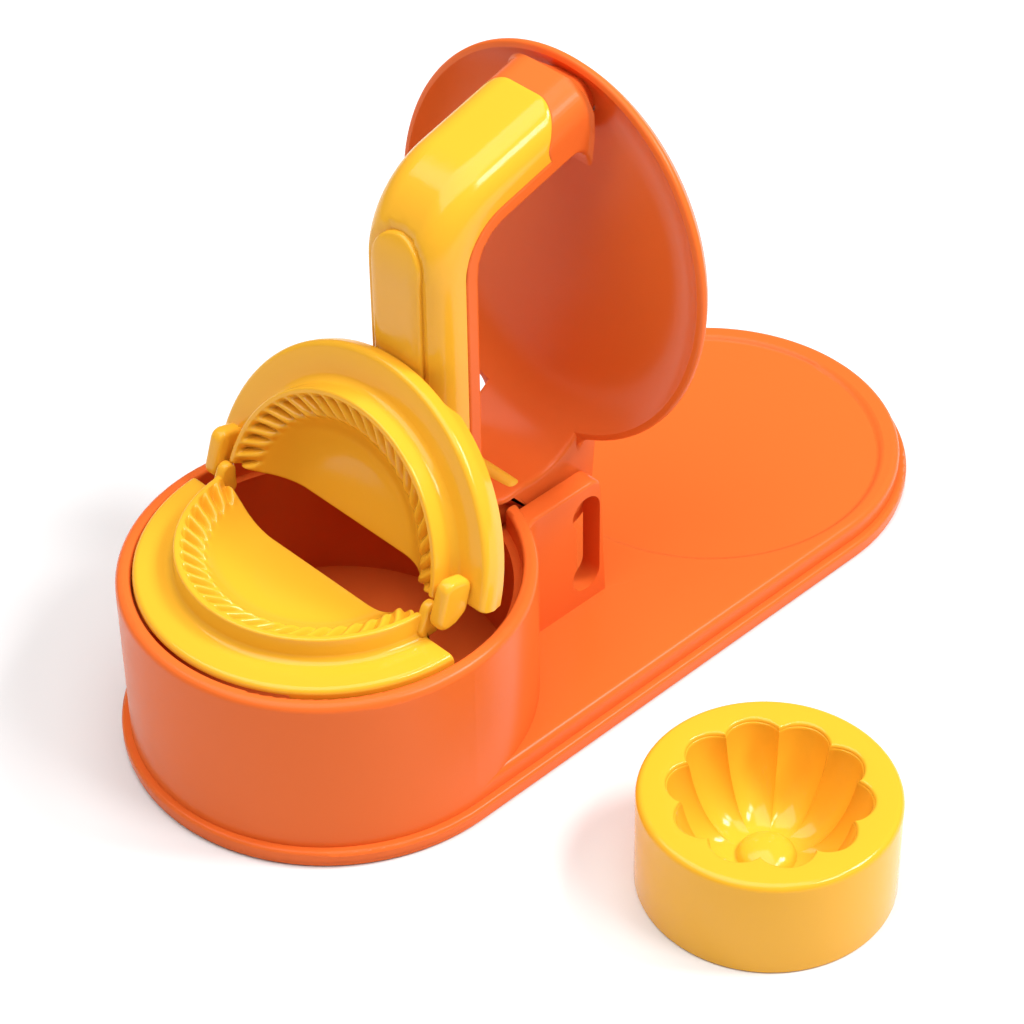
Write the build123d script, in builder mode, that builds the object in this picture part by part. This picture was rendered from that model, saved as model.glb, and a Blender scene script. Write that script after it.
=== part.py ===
from build123d import *
from math import atan2, cos, degrees, hypot, radians, sin, sqrt, tan
import os

# Empanada press: a tub that holds a folding crimp mould, a flat platform for
# rolling dough, and a round lid that rolls out the dough disc. The lid's axle
# rides up and down in two slotted cheeks. A loose flower mould goes with it.
# Millimetres, +Z up, origin in the middle of the bottom cover's underside, +Y from
# tub to platform. The rubber feet reach a little below the origin.

os.makedirs("parts", exist_ok=True)

# ---- driving dimensions -------------------------------------------------
# base
half_span = 80.5          # middle of the base to the centre of either end
tub_wall = 4.5            # wall of the tub at its rim
flange_w = 2.5            # how far the foot flange stands out
foot_drop = 0.6           # how far the rubber feet stand out below the cover
cover_lip_t = 2.0         # bottom cover, thickness of its lip
cover_plug_t = 1.2        # bottom cover, height of the plug in the housing
flange_t = 3.2            # foot flange of the housing
deck_z = 11.3             # platform above the cover's underside
deck_t = 3.0              # thickness of platform and tub floor
wall_t = 3.0              # skirt wall of the housing
recess_r = 55.5           # round recess in the platform
recess_shift = 1.4        # centre of the recess beyond the lid's, when shut
recess_d = 1.2            # depth of the recess
recess_ramp = 1.3         # half the width of the recess's soft edge
deck_round = 2.2          # rounding of the platform's edge
rim_z = 58.5              # crown of the tub
rim_round = 2.4           # outer rounding of the tub's rim
rim_round_in = 1.2        # inner rounding of the tub's rim
mould_gap = 0.5           # mould to the tub's bore, radial
seat_gap = 0.3            # mould to its seat
seat_w = 2.6              # width of the seat in the tub
# cheeks
cheek_in = 19.3           # inner face of each cheek
cheek_w = 7.0             # thickness of each cheek
cheek_top = 56.0          # top of the cheeks
cheek_tail = 8.9          # axle to the back edge of the cheeks at the platform
cheek_lean = 2.5          # how much the back edge leans in at the top
cheek_round = 4.5         # rounding of the cheeks' top corner
cheek_edge = 1.2          # rounding of the cheeks' outer edges
cheek_edge_in = 0.8       # rounding of their inner edges, behind the slots
cheek_blend = 6.0         # fillet between cheeks and tub
seat_r = 5.65             # round seats of the slot
waist_step = 1.6          # step in the front edge between the two seats
# lid and its axle
axle_back = 18.1          # back of the tub to the axle
axle_z = 45.7             # axle at its upper seat
axle_drop = 23.8          # travel of the axle to its lower seat
axle_r = 3.75             # axle
axle_reach = 2.2          # how far the axle goes into each cheek
axle_fit = 0.05           # running fit of axle and hinge pins
hub_r = 9.8               # hub of the neck round the axle
neck_side = 0.5           # neck to each cheek
neck_top = 60.0           # top face of the neck
neck_t = 9.5              # height of the neck's arm
neck_front_w = 33.0       # width of the neck's front end
tub_gate = 49.5           # top of the tub's wall between the cheeks
disc_reach = 79.0         # axle to the middle of the lid's rim circle
disc_step = 1.0           # rim circle behind the axle
disc_lean = 6.88          # lid leans back by this angle
disc_r = 60.0             # rim of the lid
disc_wall = 2.5           # thickness of the lid's shell
disc_depth = 8.7          # rim plane to the back of the shell
disc_flat_r = 48.0        # flat part of the shell, inside
rim_bead = 1.2            # rounding of the lid's rim
corner_round = 7.0        # fillet between the neck's sides and the rim
plate_r = 50.0            # press plate behind the shell
plate_t = 1.5
plate_fit = 0.1
# handle
grip_w = 31.4             # width across
grip_t = 17.6             # thickness fore and aft
lean_gap = 0.6            # upright to the leaf that leans on it
grip_knee = 159.8         # height where the two centre lines meet
grip_rise = 16.0          # slope of the upper part in degrees
grip_bend = 23.0          # radius of the centre line in the bend
grip_round = 9.8          # rounding of the section's front
grip_back_round = 1.2     # rounding of the section's back
cover_t = 4.8             # wall of the yellow cover
cover_end = 1.7           # where the cover ends, along Y
seam_back = 4.75         # seam to the back of the handle
seam_fit = 0.1
foot_edge = 0.85          # foot block on the lid, beyond the grip's slanting end
neck_screw_x = 6.5        # screws of neck and foot, to either side
screw_len = 17.0          # shank of the lid's screws
handle_screw_len = 8.0    # shank of the cover's screws
screw_low = 112.0         # lower screw under the inlay
screw_pitch = 26.0        # from there to the upper one
tip_len = 14.0            # straight end of the cover
tip_round = 10.5          # rounding of the cover's end, in plan
inlay_w = 19.0            # oval inlay on the front of the cover
inlay_low = 99.5
inlay_high = 156.0
inlay_t = 1.6
inlay_gap = 1.9           # groove round the inlay
pocket_t = 1.65           # depth of the inlay's pocket
pad_r = 2.8               # soft bar across the neck
pad_len = 34.0
pad_back = 19.1           # soft bar in front of the axle
# folding mould
hinge_z = 68.0            # hinge line, in the mating plane
leaf_tilt = 72.0          # rear leaf stands up by this angle
leaf_r = 55.0             # outer radius of both leaves
leaf_edge = 2.75          # hinge line to the straight edge
mate_gap = 0.15           # rim of each leaf below the mating plane
step_h = 7.5              # mating plane to the flange
shell_t = 2.0             # wall of the leaves
skirt_h = 9.0             # flange face down to the skirt's edge
crimp_out = 40.5          # outer edge of the crimp band
crimp_in = 34.0           # inner edge of the crimp band
crimp_fall = 2.4          # fall of the crimp band
rim_top_r = 42.0          # outer edge of the raised rim
rim_foot_r = 44.0         # foot of the raised rim on the flange
bowl_d = 10.5             # mating plane to the bowl's floor
bowl_r = 20.0             # flat of the bowl
swing_gap = 0.3           # skirt to the bore while a leaf swings
notch_half = 37.5         # half the angle of the front skirt's notch
notch_rear_half = 23.0    # half the angle of the rear skirt's notch
notch_rear_h = 12.5       # mating plane to the edge of the rear skirt's notch
knuckle_in = 40.7         # knuckles of the front leaf, inner face
knuckle_w = 3.7
arm_w = 4.5               # arms of the rear leaf
arm_gap = 0.3
knuckle_r = 4.8           # round end of knuckles and arms
arm_s = 9.3               # far centre of the arm, along the leaf
arm_h = 3.2               # far centre of the arm, below the mating plane
pin_r = 1.5               # hinge pins
# flower mould
cup_x = 133.3
cup_y = -39.8
cup_r = 36.8
cup_h = 33.2
cup_edge = 2.0
petals = 10
petal_ring = 21.0         # petals' centres at the top
petal_r = 7.6
petal_ring_low = 8.5      # petals' centres at the bottom
petal_r_low = 2.8
cup_floor = 8.0
button_r = 7.0            # dome in the middle of the cup
button_h = 4.5
# fasteners and feet
screw_r = 1.5
head_r = 2.9
head_t = 1.6
screw_fit = 0.05
boss_r = 4.0
foot_r = 7.0              # rubber feet
foot_t = 1.6

# ---- sizes that follow --------------------------------------------------
ground_z = -foot_drop
bore_r = leaf_r + mould_gap
plan_r = bore_r + tub_wall
tub_back = plan_r - half_span
axle_y = tub_back + axle_back
cheek_back = axle_y + cheek_tail
back_top = cheek_back - cheek_lean
recess_y = axle_y + disc_reach + recess_shift
pad_y = axle_y - pad_back
cover_z = cover_lip_t
flange_z = cover_z + flange_t
cavity_r = plan_r - wall_t
seat_z = hinge_z - step_h - skirt_h - seat_gap
deck_low = deck_z - deck_t
neck_w = cheek_in - neck_side
cheek_out = cheek_in + cheek_w
plug_fit = 0.2
swing_r = sqrt((bore_r - swing_gap) ** 2 + (hinge_z - rim_z) ** 2)
skirt_low = step_h + skirt_h
skirt_low_r = sqrt(swing_r**2 - skirt_low**2)
draft_h = sqrt(swing_r**2 - leaf_r**2)
draft = (leaf_r - skirt_low_r) / (skirt_low - draft_h)
notch_r = leaf_r - (notch_rear_h - draft_h) * draft
tilt = radians(leaf_tilt)
leaf_lean = notch_r * cos(tilt) + notch_rear_h * sin(tilt)
grip_low_y = -half_span + leaf_lean + lean_gap
grip_y = grip_low_y + grip_t / 2
screw_hole_r = screw_r + screw_fit
pilot_deep = 1.0
plug_top = cover_z + cover_plug_t
boss_x = plan_r * 0.63
boss_y = half_span + plan_r * 0.19
boss_places = [(x, y) for x in (-boss_x, boss_x) for y in (-boss_y, boss_y)]
foot_x = plan_r * 0.5
foot_y = half_span + plan_r * 0.42
foot_places = [(x, y) for x in (-foot_x, foot_x) for y in (-foot_y, foot_y)]
lean = radians(disc_lean)
disc_y = axle_y + disc_reach * sin(lean) + disc_step * cos(lean)
disc_z = axle_z + disc_reach * cos(lean) - disc_step * sin(lean)
rise = radians(grip_rise)
slope = (disc_y - grip_y) * cos(lean) - (disc_z - grip_knee) * sin(lean)
slope = slope / cos(rise + lean)
foot_v = (grip_y + slope * cos(rise) - disc_y) * sin(lean)
foot_v = foot_v + (grip_knee + slope * sin(rise) - disc_z) * cos(lean)
foot_h = grip_t / cos(rise + lean) + 2 * foot_edge
lid_plane = Plane(
    origin=(0, disc_y, disc_z),
    x_dir=(1, 0, 0),
    z_dir=(0, -cos(lean), sin(lean)),
)
hinge_plane = Plane(origin=(0, -half_span, hinge_z), x_dir=(1, 0, 0), z_dir=(0, 0, 1))


# ---- base housing -------------------------------------------------------
def cheek(side):
    """One cheek with rounded edges, and the curve that carries it into the tub's wall."""
    with BuildPart() as block:
        # plan: the tub's circle and the cheek, with the corner between them filled
        with BuildSketch(Plane.XY.offset(deck_low)) as plan:
            with Locations((0, -half_span)):
                Circle(plan_r)
            with Locations((side * (cheek_in + cheek_w / 2), -half_span)):
                Rectangle(cheek_w, half_span + cheek_back, align=(Align.CENTER, Align.MIN))
            meet_y = sqrt(plan_r**2 - cheek_out**2) - half_span
            meet = plan.vertices().filter_by(lambda v: abs(v.Y - meet_y) < 0.1 and v.X * side > cheek_in)
            fillet(meet, cheek_blend)
            with Locations((0, -half_span)):
                Circle(plan_r - wall_t, mode=Mode.SUBTRACT)
            with Locations((side * (cheek_in + plan_r / 4), cheek_back)):
                Rectangle(plan_r / 2, plan_r * 0.77, align=(Align.CENTER, Align.MAX), mode=Mode.INTERSECT)
        extrude(amount=cheek_top - deck_low)
        # side view, with the back edge leaning in
        with BuildSketch(Plane.YZ):
            with BuildLine():
                Polyline(
                    (-half_span, deck_low),
                    (cheek_back, deck_low),
                    (cheek_back, deck_z),
                    (back_top, cheek_top),
                    (-half_span, cheek_top),
                    close=True,
                )
            make_face()
        extrude(amount=plan_r, both=True, mode=Mode.INTERSECT)
        back = block.edges().filter_by(Axis.X).filter_by(lambda e: e.center().Y > back_top - 1)
        fillet(back.sort_by(Axis.Z)[-1], cheek_round)
        free = block.edges().filter_by(lambda e: e.center().Z > (deck_z + cheek_top) / 2 - 4)
        free = free.filter_by(lambda e: abs(e.tangent_at(0.5).X) < 0.999)
        outer = free.filter_by(lambda e: abs(e.center().X) > cheek_out - 0.05)
        fillet(outer.filter_by(lambda e: e.center().Z > cheek_top - 2 or e.center().Y > 0), cheek_edge)
        inner = block.edges().filter_by(lambda e: abs(abs(e.center().X) - cheek_in) < 0.05)
        inner = inner.filter_by(lambda e: e.center().Z > deck_z + 1 and e.center().Y > back_top - 5)
        fillet(inner, cheek_edge_in)
    return block.part


with BuildPart() as base_housing:
    # foot flange and body, both with round ends
    with BuildSketch(Plane.XY.offset(cover_z)):
        SlotCenterToCenter(2 * half_span, 2 * (plan_r + flange_w), rotation=90)
    extrude(amount=flange_t)
    fillet(base_housing.edges().group_by(Axis.Z)[-1], flange_t * 0.4)
    with BuildSketch(Plane.XY.offset(cover_z)):
        SlotCenterToCenter(2 * half_span, 2 * plan_r, rotation=90)
    extrude(amount=deck_z - cover_z)
    fillet(base_housing.edges().group_by(Axis.Z)[-1], deck_round)
    # tub
    with BuildSketch(Plane.XY.offset(deck_low)):
        with Locations((0, -half_span)):
            Circle(plan_r)
    extrude(amount=rim_z - deck_low)
    # cheeks, from the tub's wall back to the platform
    for side in (-1, 1):
        add(cheek(side))
    # hollow underside
    with BuildSketch(Plane.XY.offset(cover_z)):
        SlotCenterToCenter(2 * half_span, 2 * cavity_r, rotation=90)
    extrude(amount=deck_low - cover_z, mode=Mode.SUBTRACT)
    # bore of the tub, and the seat for the mould
    with BuildSketch(Plane.XY.offset(seat_z)):
        with Locations((0, -half_span)):
            Circle(bore_r)
    extrude(amount=rim_z, mode=Mode.SUBTRACT)
    with BuildSketch(Plane.XY.offset(deck_z)):
        with Locations((0, -half_span)):
            Circle(bore_r - seat_w)
    extrude(amount=rim_z, mode=Mode.SUBTRACT)
    # round recess in the platform, outside the tub and cheeks
    with BuildPart(mode=Mode.PRIVATE) as recess:
        with BuildSketch(Plane.XZ):
            with BuildLine():
                floor = Line((0, -recess_d), (recess_r - recess_ramp, -recess_d))
                turn_in = TangentArc(floor @ 1, (recess_r, -recess_d / 2), tangent=floor % 1)
                turn_out = TangentArc((recess_r + recess_ramp, 0), turn_in @ 1, tangent=(-1, 0))
                Polyline(turn_out @ 0, (recess_r + recess_ramp, recess_d), (0, recess_d), floor @ 0)
            make_face()
        revolve(axis=Axis.Z)
        with Locations((0, cheek_back + recess_d - recess_y, 0)):
            Box(4 * plan_r, plan_r, plan_r, align=(Align.CENTER, Align.MAX, Align.CENTER), mode=Mode.SUBTRACT)
    with Locations((0, recess_y, deck_z)):
        add(recess.part, mode=Mode.SUBTRACT)
    # gate in the tub's wall between the cheeks, where the neck passes
    with BuildSketch(Plane.XY.offset(tub_gate)):
        with Locations((0, plan_r - half_span)):
            Rectangle(2 * cheek_in, 2 * (plan_r - bore_r + wall_t) + 7)
    extrude(amount=rim_z, mode=Mode.SUBTRACT)
    # slots: a round seat at either end and a narrower waist between them
    with BuildSketch(Plane.YZ):
        with Locations((axle_y, axle_z), (axle_y, axle_z - axle_drop)):
            Circle(seat_r)
        with Locations((axle_y + waist_step / 2, axle_z - axle_drop / 2)):
            Rectangle(2 * seat_r - waist_step, axle_drop)
    extrude(amount=cheek_in + 2 * cheek_w, both=True, mode=Mode.SUBTRACT)
    # screw bosses under the platform and the tub's floor
    with BuildSketch(Plane.XY.offset(plug_top)):
        with Locations(*boss_places):
            Circle(boss_r)
    extrude(amount=deck_low - plug_top)
    with BuildSketch(Plane.XY.offset(plug_top)):
        with Locations(*boss_places):
            Circle(screw_hole_r)
    extrude(amount=deck_low - plug_top + pilot_deep, mode=Mode.SUBTRACT)
    # rounded rim of the tub
    crown = base_housing.faces().filter_by(Plane.XY).group_by(Axis.Z)[-1]
    rim_edges = crown.edges().filter_by(GeomType.CIRCLE)
    fillet(rim_edges.filter_by(lambda e: abs(e.radius - plan_r) < 0.01), rim_round)
    crown = base_housing.faces().filter_by(Plane.XY).group_by(Axis.Z)[-1]
    rim_edges = crown.edges().filter_by(GeomType.CIRCLE)
    fillet(rim_edges.filter_by(lambda e: abs(e.radius - bore_r) < 0.01), rim_round_in)
base_housing.part.label = "base_housing"
export_step(base_housing.part, "parts/base_housing.step")


# ---- bottom cover -------------------------------------------------------
with BuildPart() as bottom_cover:
    with BuildSketch(Plane.XY):
        SlotCenterToCenter(2 * half_span, 2 * (plan_r + flange_w - 0.5), rotation=90)
    extrude(amount=cover_lip_t)
    with BuildSketch(Plane.XY.offset(cover_z)):
        SlotCenterToCenter(2 * half_span, 2 * (cavity_r - plug_fit), rotation=90)
    extrude(amount=cover_plug_t)
    with BuildSketch(Plane.XY):
        with Locations(*boss_places):
            Circle(screw_hole_r)
    extrude(amount=cover_lip_t + cover_plug_t, mode=Mode.SUBTRACT)
    with BuildSketch(Plane.XY):
        with Locations(*boss_places):
            Circle(head_r + screw_fit)
    extrude(amount=head_t, mode=Mode.SUBTRACT)
    with BuildSketch(Plane.XY):
        with Locations(*foot_places):
            Circle(foot_r + screw_fit)
    extrude(amount=foot_t - foot_drop, mode=Mode.SUBTRACT)
bottom_cover.part.label = "bottom_cover"
export_step(bottom_cover.part, "parts/bottom_cover.step")


# ---- rubber feet --------------------------------------------------------
for number, place in enumerate(foot_places, 1):
    with BuildPart() as foot:
        with Locations((*place, ground_z)):
            Cylinder(foot_r, foot_t, align=(Align.CENTER, Align.CENTER, Align.MIN))
        chamfer(foot.edges().group_by(Axis.Z)[0], foot_drop / 2)
    foot.part.label = f"foot_{number}"
    export_step(foot.part, f"parts/foot_{number}.step")


# ---- screws of the bottom cover ----------------------------------------
with BuildPart() as cover_screws:
    with BuildSketch(Plane.XY):
        with Locations(*boss_places):
            Circle(head_r)
    extrude(amount=head_t)
    with BuildSketch(Plane.XY.offset(head_t)):
        with Locations(*boss_places):
            Circle(screw_r)
    extrude(amount=deck_low + pilot_deep / 2 - head_t)
cover_screws.part.label = "cover_screws"
export_step(cover_screws.part, "parts/cover_screws.step")


# ---- lid: shell, neck and hub ------------------------------------------
# The shell is drawn in its own plane: rim circle at height 0, handle side up.
shell_floor = disc_wall - disc_depth
lip_r = disc_r - disc_wall
with BuildPart() as shell:
    with BuildSketch(Plane.XZ):
        with BuildLine():
            inner = Line((0, shell_floor), (disc_flat_r - disc_wall * 3, shell_floor))
            flare = TangentArc(inner @ 1, (lip_r, 0), tangent=inner % 1)
            lip = Line(flare @ 1, (disc_r, 0))
            side = Line(lip @ 1, (disc_r, -rim_bead))
            corner = (disc_flat_r, -disc_depth)
            under = TangentArc(corner, side @ 1, tangent=(1, 0))
            back = Line(corner, (0, -disc_depth))
            Line(back @ 1, inner @ 0)
        make_face()
    revolve(axis=Axis.Z)
    rim_edges = shell.edges().filter_by(GeomType.CIRCLE).group_by(Axis.Z)[-1]
    fillet(rim_edges, rim_bead * 0.8)

# the air in front of the shell
with BuildPart() as dish_air:
    with BuildSketch(Plane.XZ):
        with BuildLine():
            inner = Line((0, shell_floor), (disc_flat_r - disc_wall * 3, shell_floor))
            flare = TangentArc(inner @ 1, (lip_r, 0), tangent=inner % 1)
            Polyline(flare @ 1, (lip_r, disc_r), (0, disc_r), inner @ 0)
        make_face()
    revolve(axis=Axis.Z)

shell_here = lid_plane.location * shell.part
dish_air_here = lid_plane.location * dish_air.part
neck_back = lid_plane.from_local_coords((0, -disc_flat_r, -disc_depth + disc_wall / 2))
neck_in = lid_plane.from_local_coords((0, -disc_flat_r, shell_floor))
neck_lip = lid_plane.from_local_coords((0, -lip_r, 0))
neck_low = neck_top - neck_t
neck_front = grip_low_y - 0.7
neck_screws = [(-neck_screw_x, grip_y), (neck_screw_x, grip_y)]
foot_screw_v = foot_v - foot_h / 3
foot_screws = [(-neck_screw_x, foot_screw_v), (neck_screw_x, foot_screw_v)]

with BuildPart() as foot_block:
    add(dish_air_here)
    with BuildSketch(lid_plane.offset(shell_floor)):
        with Locations((0, foot_v)):
            Rectangle(grip_w, foot_h)
    extrude(amount=-shell_floor, mode=Mode.INTERSECT)

# curved corners between the neck's sides and the shell
corner_reach = disc_r * (neck_w + corner_round) / (disc_r + corner_round)
with BuildPart() as neck_corners:
    with BuildSketch(lid_plane.offset(-rim_bead / 2)) as corner_plan:
        Circle(disc_r)
        Rectangle(2 * neck_w, disc_r + corner_round, align=(Align.CENTER, Align.MAX))
        meet_v = -sqrt(disc_r**2 - neck_w**2)
        meet = corner_plan.vertices().filter_by(lambda v: abs(v.Y - meet_v) < 0.1)
        fillet(meet, corner_round)
        Circle(disc_r - rim_bead * 1.3, mode=Mode.SUBTRACT)
        Rectangle(2 * corner_reach, 2 * disc_r, align=(Align.CENTER, Align.MAX), mode=Mode.INTERSECT)
    extrude(amount=(rim_bead - disc_depth) / 2)

with BuildPart() as press_lid:
    # arm and hub, seen from the side
    with BuildSketch(Plane.YZ):
        with BuildLine():
            Polyline(
                (neck_front, neck_low),
                (axle_y - hub_r - 2, neck_low),
                (axle_y - hub_r, axle_z),
                (axle_y + hub_r, axle_z),
                (neck_back.Y, neck_back.Z),
                (neck_in.Y, neck_in.Z),
                (neck_lip.Y, neck_lip.Z),
                (neck_lip.Y - 4, neck_top),
                (neck_front, neck_top),
                close=True,
            )
        make_face()
        with Locations((axle_y, axle_z)):
            Circle(hub_r)
    extrude(amount=neck_w, both=True)
    # plan of the arm: full width between the cheeks, narrower under the handle
    with BuildSketch(Plane.XY):
        with BuildLine():
            Polyline(
                (-neck_w, disc_r),
                (neck_w, disc_r),
                (neck_w, pad_y - 2 * pad_r),
                (neck_front_w / 2, grip_y + grip_t / 2),
                (neck_front_w / 2, neck_front),
                (-neck_front_w / 2, neck_front),
                (-neck_front_w / 2, grip_y + grip_t / 2),
                (-neck_w, pad_y - 2 * pad_r),
                close=True,
            )
        make_face()
    extrude(amount=2 * neck_top, mode=Mode.INTERSECT)
    add(neck_corners.part)
    add(dish_air_here, mode=Mode.SUBTRACT)
    add(shell_here)
    # block that the handle's foot stands on
    add(foot_block.part)
    # axle bore and the groove for the soft bar
    with BuildSketch(Plane.YZ):
        with Locations((axle_y, axle_z)):
            Circle(axle_r + axle_fit)
    extrude(amount=cheek_in, both=True, mode=Mode.SUBTRACT)
    with BuildSketch(Plane.YZ):
        with Locations((pad_y, neck_top)):
            Circle(pad_r + seam_fit)
    extrude(amount=pad_len / 2 + seam_fit, both=True, mode=Mode.SUBTRACT)
    # screw holes from below, into the handle's upright
    with BuildSketch(Plane.XY.offset(neck_low)):
        with Locations(*neck_screws):
            Circle(screw_hole_r)
    extrude(amount=neck_t, mode=Mode.SUBTRACT)
    with BuildSketch(Plane.XY.offset(neck_low)):
        with Locations(*neck_screws):
            Circle(head_r + screw_fit)
    extrude(amount=head_t, mode=Mode.SUBTRACT)
    # screw holes from behind, into the handle's foot
    with BuildSketch(lid_plane.offset(-disc_depth)):
        with Locations(*foot_screws):
            Circle(screw_hole_r)
    extrude(amount=disc_depth, mode=Mode.SUBTRACT)
    with BuildSketch(lid_plane.offset(-disc_depth)):
        with Locations(*foot_screws):
            Circle(head_r + screw_fit)
    extrude(amount=head_t, mode=Mode.SUBTRACT)
press_lid.part.label = "press_lid"
export_step(press_lid.part, "parts/press_lid.step")


# ---- press plate on the back of the lid --------------------------------
with BuildPart() as press_plate:
    with BuildSketch(lid_plane.offset(-disc_depth)):
        Circle(plate_r)
    extrude(amount=-plate_t)
press_plate.part.label = "press_plate"
export_step(press_plate.part, "parts/press_plate.step")


# ---- axle of the lid ----------------------------------------------------
with BuildPart() as lid_axle:
    with BuildSketch(Plane.YZ):
        with Locations((axle_y, axle_z)):
            Circle(axle_r)
    extrude(amount=cheek_in + axle_reach, both=True)
    chamfer(lid_axle.edges().filter_by(GeomType.CIRCLE), axle_reach / 4)
lid_axle.part.label = "lid_axle"
export_step(lid_axle.part, "parts/lid_axle.step")


# ---- soft bar across the neck ------------------------------------------
with BuildPart() as neck_pad:
    with BuildSketch(Plane.YZ):
        with Locations((pad_y, neck_top)):
            Circle(pad_r)
    extrude(amount=pad_len / 2, both=True)
    fillet(neck_pad.edges().filter_by(GeomType.CIRCLE), pad_r * 0.7)
neck_pad.part.label = "neck_pad"
export_step(neck_pad.part, "parts/neck_pad.step")


# ---- handle -------------------------------------------------------------
# Sections are drawn round the centre line, with +y towards the handle's back.
seam_y = grip_t / 2 - seam_back
core_half = grip_w / 2 - cover_t
core_front = cover_t - grip_t / 2


def grip_outline(depth):
    """Outline of the grip's section, or a line that lies a depth inside it."""
    with BuildSketch() as outline:
        Rectangle(grip_w - 2 * depth, grip_t - 2 * depth)
        fillet(outline.vertices().group_by(Axis.Y)[0], grip_round - depth)
        fillet(outline.vertices().group_by(Axis.Y)[-1], grip_back_round)
    return outline.sketch


def grip_section(kind):
    """Section of the whole grip, or of one of the layers that make it up."""
    with BuildSketch() as section:
        add(grip_outline(0))
        if kind == "cover":
            with Locations((0, seam_y - seam_fit)):
                Rectangle(grip_w, grip_t, align=(Align.CENTER, Align.MIN), mode=Mode.SUBTRACT)
            with Locations((0, core_front)):
                Rectangle(2 * core_half, grip_t, align=(Align.CENTER, Align.MIN), mode=Mode.SUBTRACT)
        if kind == "core":
            with Locations((0, seam_y)):
                Rectangle(grip_w, grip_t, align=(Align.CENTER, Align.MAX), mode=Mode.SUBTRACT)
            with Locations((0, core_front + seam_fit)):
                Rectangle(
                    2 * (core_half - seam_fit),
                    seam_y - core_front,
                    align=(Align.CENTER, Align.MIN),
                )
        if kind in ("skin", "pocket"):
            depth = inlay_t if kind == "skin" else pocket_t
            add(grip_outline(depth), mode=Mode.SUBTRACT)
            with Locations((0, 0)):
                Rectangle(grip_w, grip_t, align=(Align.CENTER, Align.MIN), mode=Mode.SUBTRACT)
    return section.sketch


tip_y = cover_end - tip_len * cos(rise)
tip_z = grip_knee + (tip_y - grip_y) * tan(rise)
with BuildLine(Plane.YZ) as grip_path:
    FilletPolyline((grip_y, neck_top), (grip_y, grip_knee), (tip_y, tip_z), radius=grip_bend)
low_plane = Plane(origin=(0, grip_y, neck_top), x_dir=(1, 0, 0), z_dir=(0, 0, 1))
tip_plane = Plane(origin=(0, tip_y, tip_z), x_dir=(1, 0, 0), z_dir=(0, cos(rise), sin(rise)))
tip_top = Plane(origin=(0, tip_y, tip_z), x_dir=(1, 0, 0), z_dir=(0, -sin(rise), cos(rise)))


def grip_part(kind, tip):
    """One layer of the grip, swept from the neck and on over the straight tip."""
    with BuildPart() as layer:
        with BuildSketch(low_plane):
            add(grip_section(kind))
        sweep(path=grip_path.line)
        with BuildSketch(tip_plane):
            add(grip_section(kind))
        extrude(amount=tip)
    return layer.part


def tongue(grow):
    """Block with a rounded far end that bounds the cover's tip."""
    with BuildPart() as block:
        with BuildSketch(tip_top.offset(-seam_y)):
            with Locations((0, -grow)):
                tip_w = grip_w + 2 * (seam_fit + grow)
                Rectangle(tip_w, tip_len + 2 * grow, align=(Align.CENTER, Align.MIN))
        extrude(amount=grip_t)
        far = block.edges().filter_by(Axis(tip_top.origin, tip_top.z_dir))
        fillet(far.sort_by(Axis.Y)[-2:], tip_round)
    return block.part


def inlay_prism(grow):
    """Oval prism through the front of the upright."""
    with BuildPart() as prism:
        with BuildSketch(Plane.XZ.offset(-grip_y)):
            with Locations((0, (inlay_low + inlay_high) / 2)):
                SlotOverall(inlay_high - inlay_low + 2 * grow, inlay_w + 2 * grow, rotation=90)
        extrude(amount=grip_t)
    return prism.part


with BuildPart() as collar:
    with BuildSketch(tip_plane):
        add(grip_section("whole"))
    extrude(amount=tip_len + disc_r)
    add(tongue(seam_fit), mode=Mode.SUBTRACT)
    with BuildSketch(lid_plane):
        Rectangle(4 * disc_r, 4 * disc_r)
    extrude(amount=-disc_r, mode=Mode.SUBTRACT)

handle_screw_places = [(0, screw_low), (0, screw_low + screw_pitch)]
pocket_y = grip_low_y + pocket_t
with BuildPart() as handle_core:
    add(grip_part("core", tip_len))
    add(collar.part)
    with BuildSketch(Plane.XY.offset(neck_top)):
        with Locations(*neck_screws):
            Circle(screw_hole_r)
    extrude(amount=screw_len - neck_t + head_t + pilot_deep, mode=Mode.SUBTRACT)
    with BuildSketch(lid_plane):
        with Locations(*foot_screws):
            Circle(screw_hole_r)
    extrude(amount=screw_len - disc_depth + head_t + pilot_deep, mode=Mode.SUBTRACT)
    with BuildSketch(Plane.XZ.offset(-grip_y + grip_t / 2)):
        with Locations(*handle_screw_places):
            Circle(screw_hole_r)
    extrude(amount=-(inlay_t + head_t + handle_screw_len + pilot_deep), mode=Mode.SUBTRACT)
handle_core.part.label = "handle_core"
export_step(handle_core.part, "parts/handle_core.step")

with BuildPart() as handle_cover:
    with BuildPart(mode=Mode.PRIVATE) as cover_tip:
        with BuildSketch(tip_plane):
            add(grip_section("cover"))
        extrude(amount=tip_len)
        add(tongue(0), mode=Mode.INTERSECT)
    with BuildSketch(low_plane):
        add(grip_section("cover"))
    sweep(path=grip_path.line)
    add(cover_tip.part)
    with BuildPart(mode=Mode.PRIVATE) as pocket:
        add(grip_part("pocket", 1))
        add(inlay_prism(inlay_gap), mode=Mode.INTERSECT)
    add(pocket.part, mode=Mode.SUBTRACT)
    with BuildSketch(Plane.XZ.offset(-grip_y + grip_t / 2)):
        with Locations(*handle_screw_places):
            Circle(screw_hole_r)
    extrude(amount=-grip_t / 2, mode=Mode.SUBTRACT)
    with BuildSketch(Plane.XZ.offset(-pocket_y)):
        with Locations(*handle_screw_places):
            Circle(head_r + screw_fit)
    extrude(amount=-head_t, mode=Mode.SUBTRACT)
handle_cover.part.label = "handle_cover"
export_step(handle_cover.part, "parts/handle_cover.step")

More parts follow.
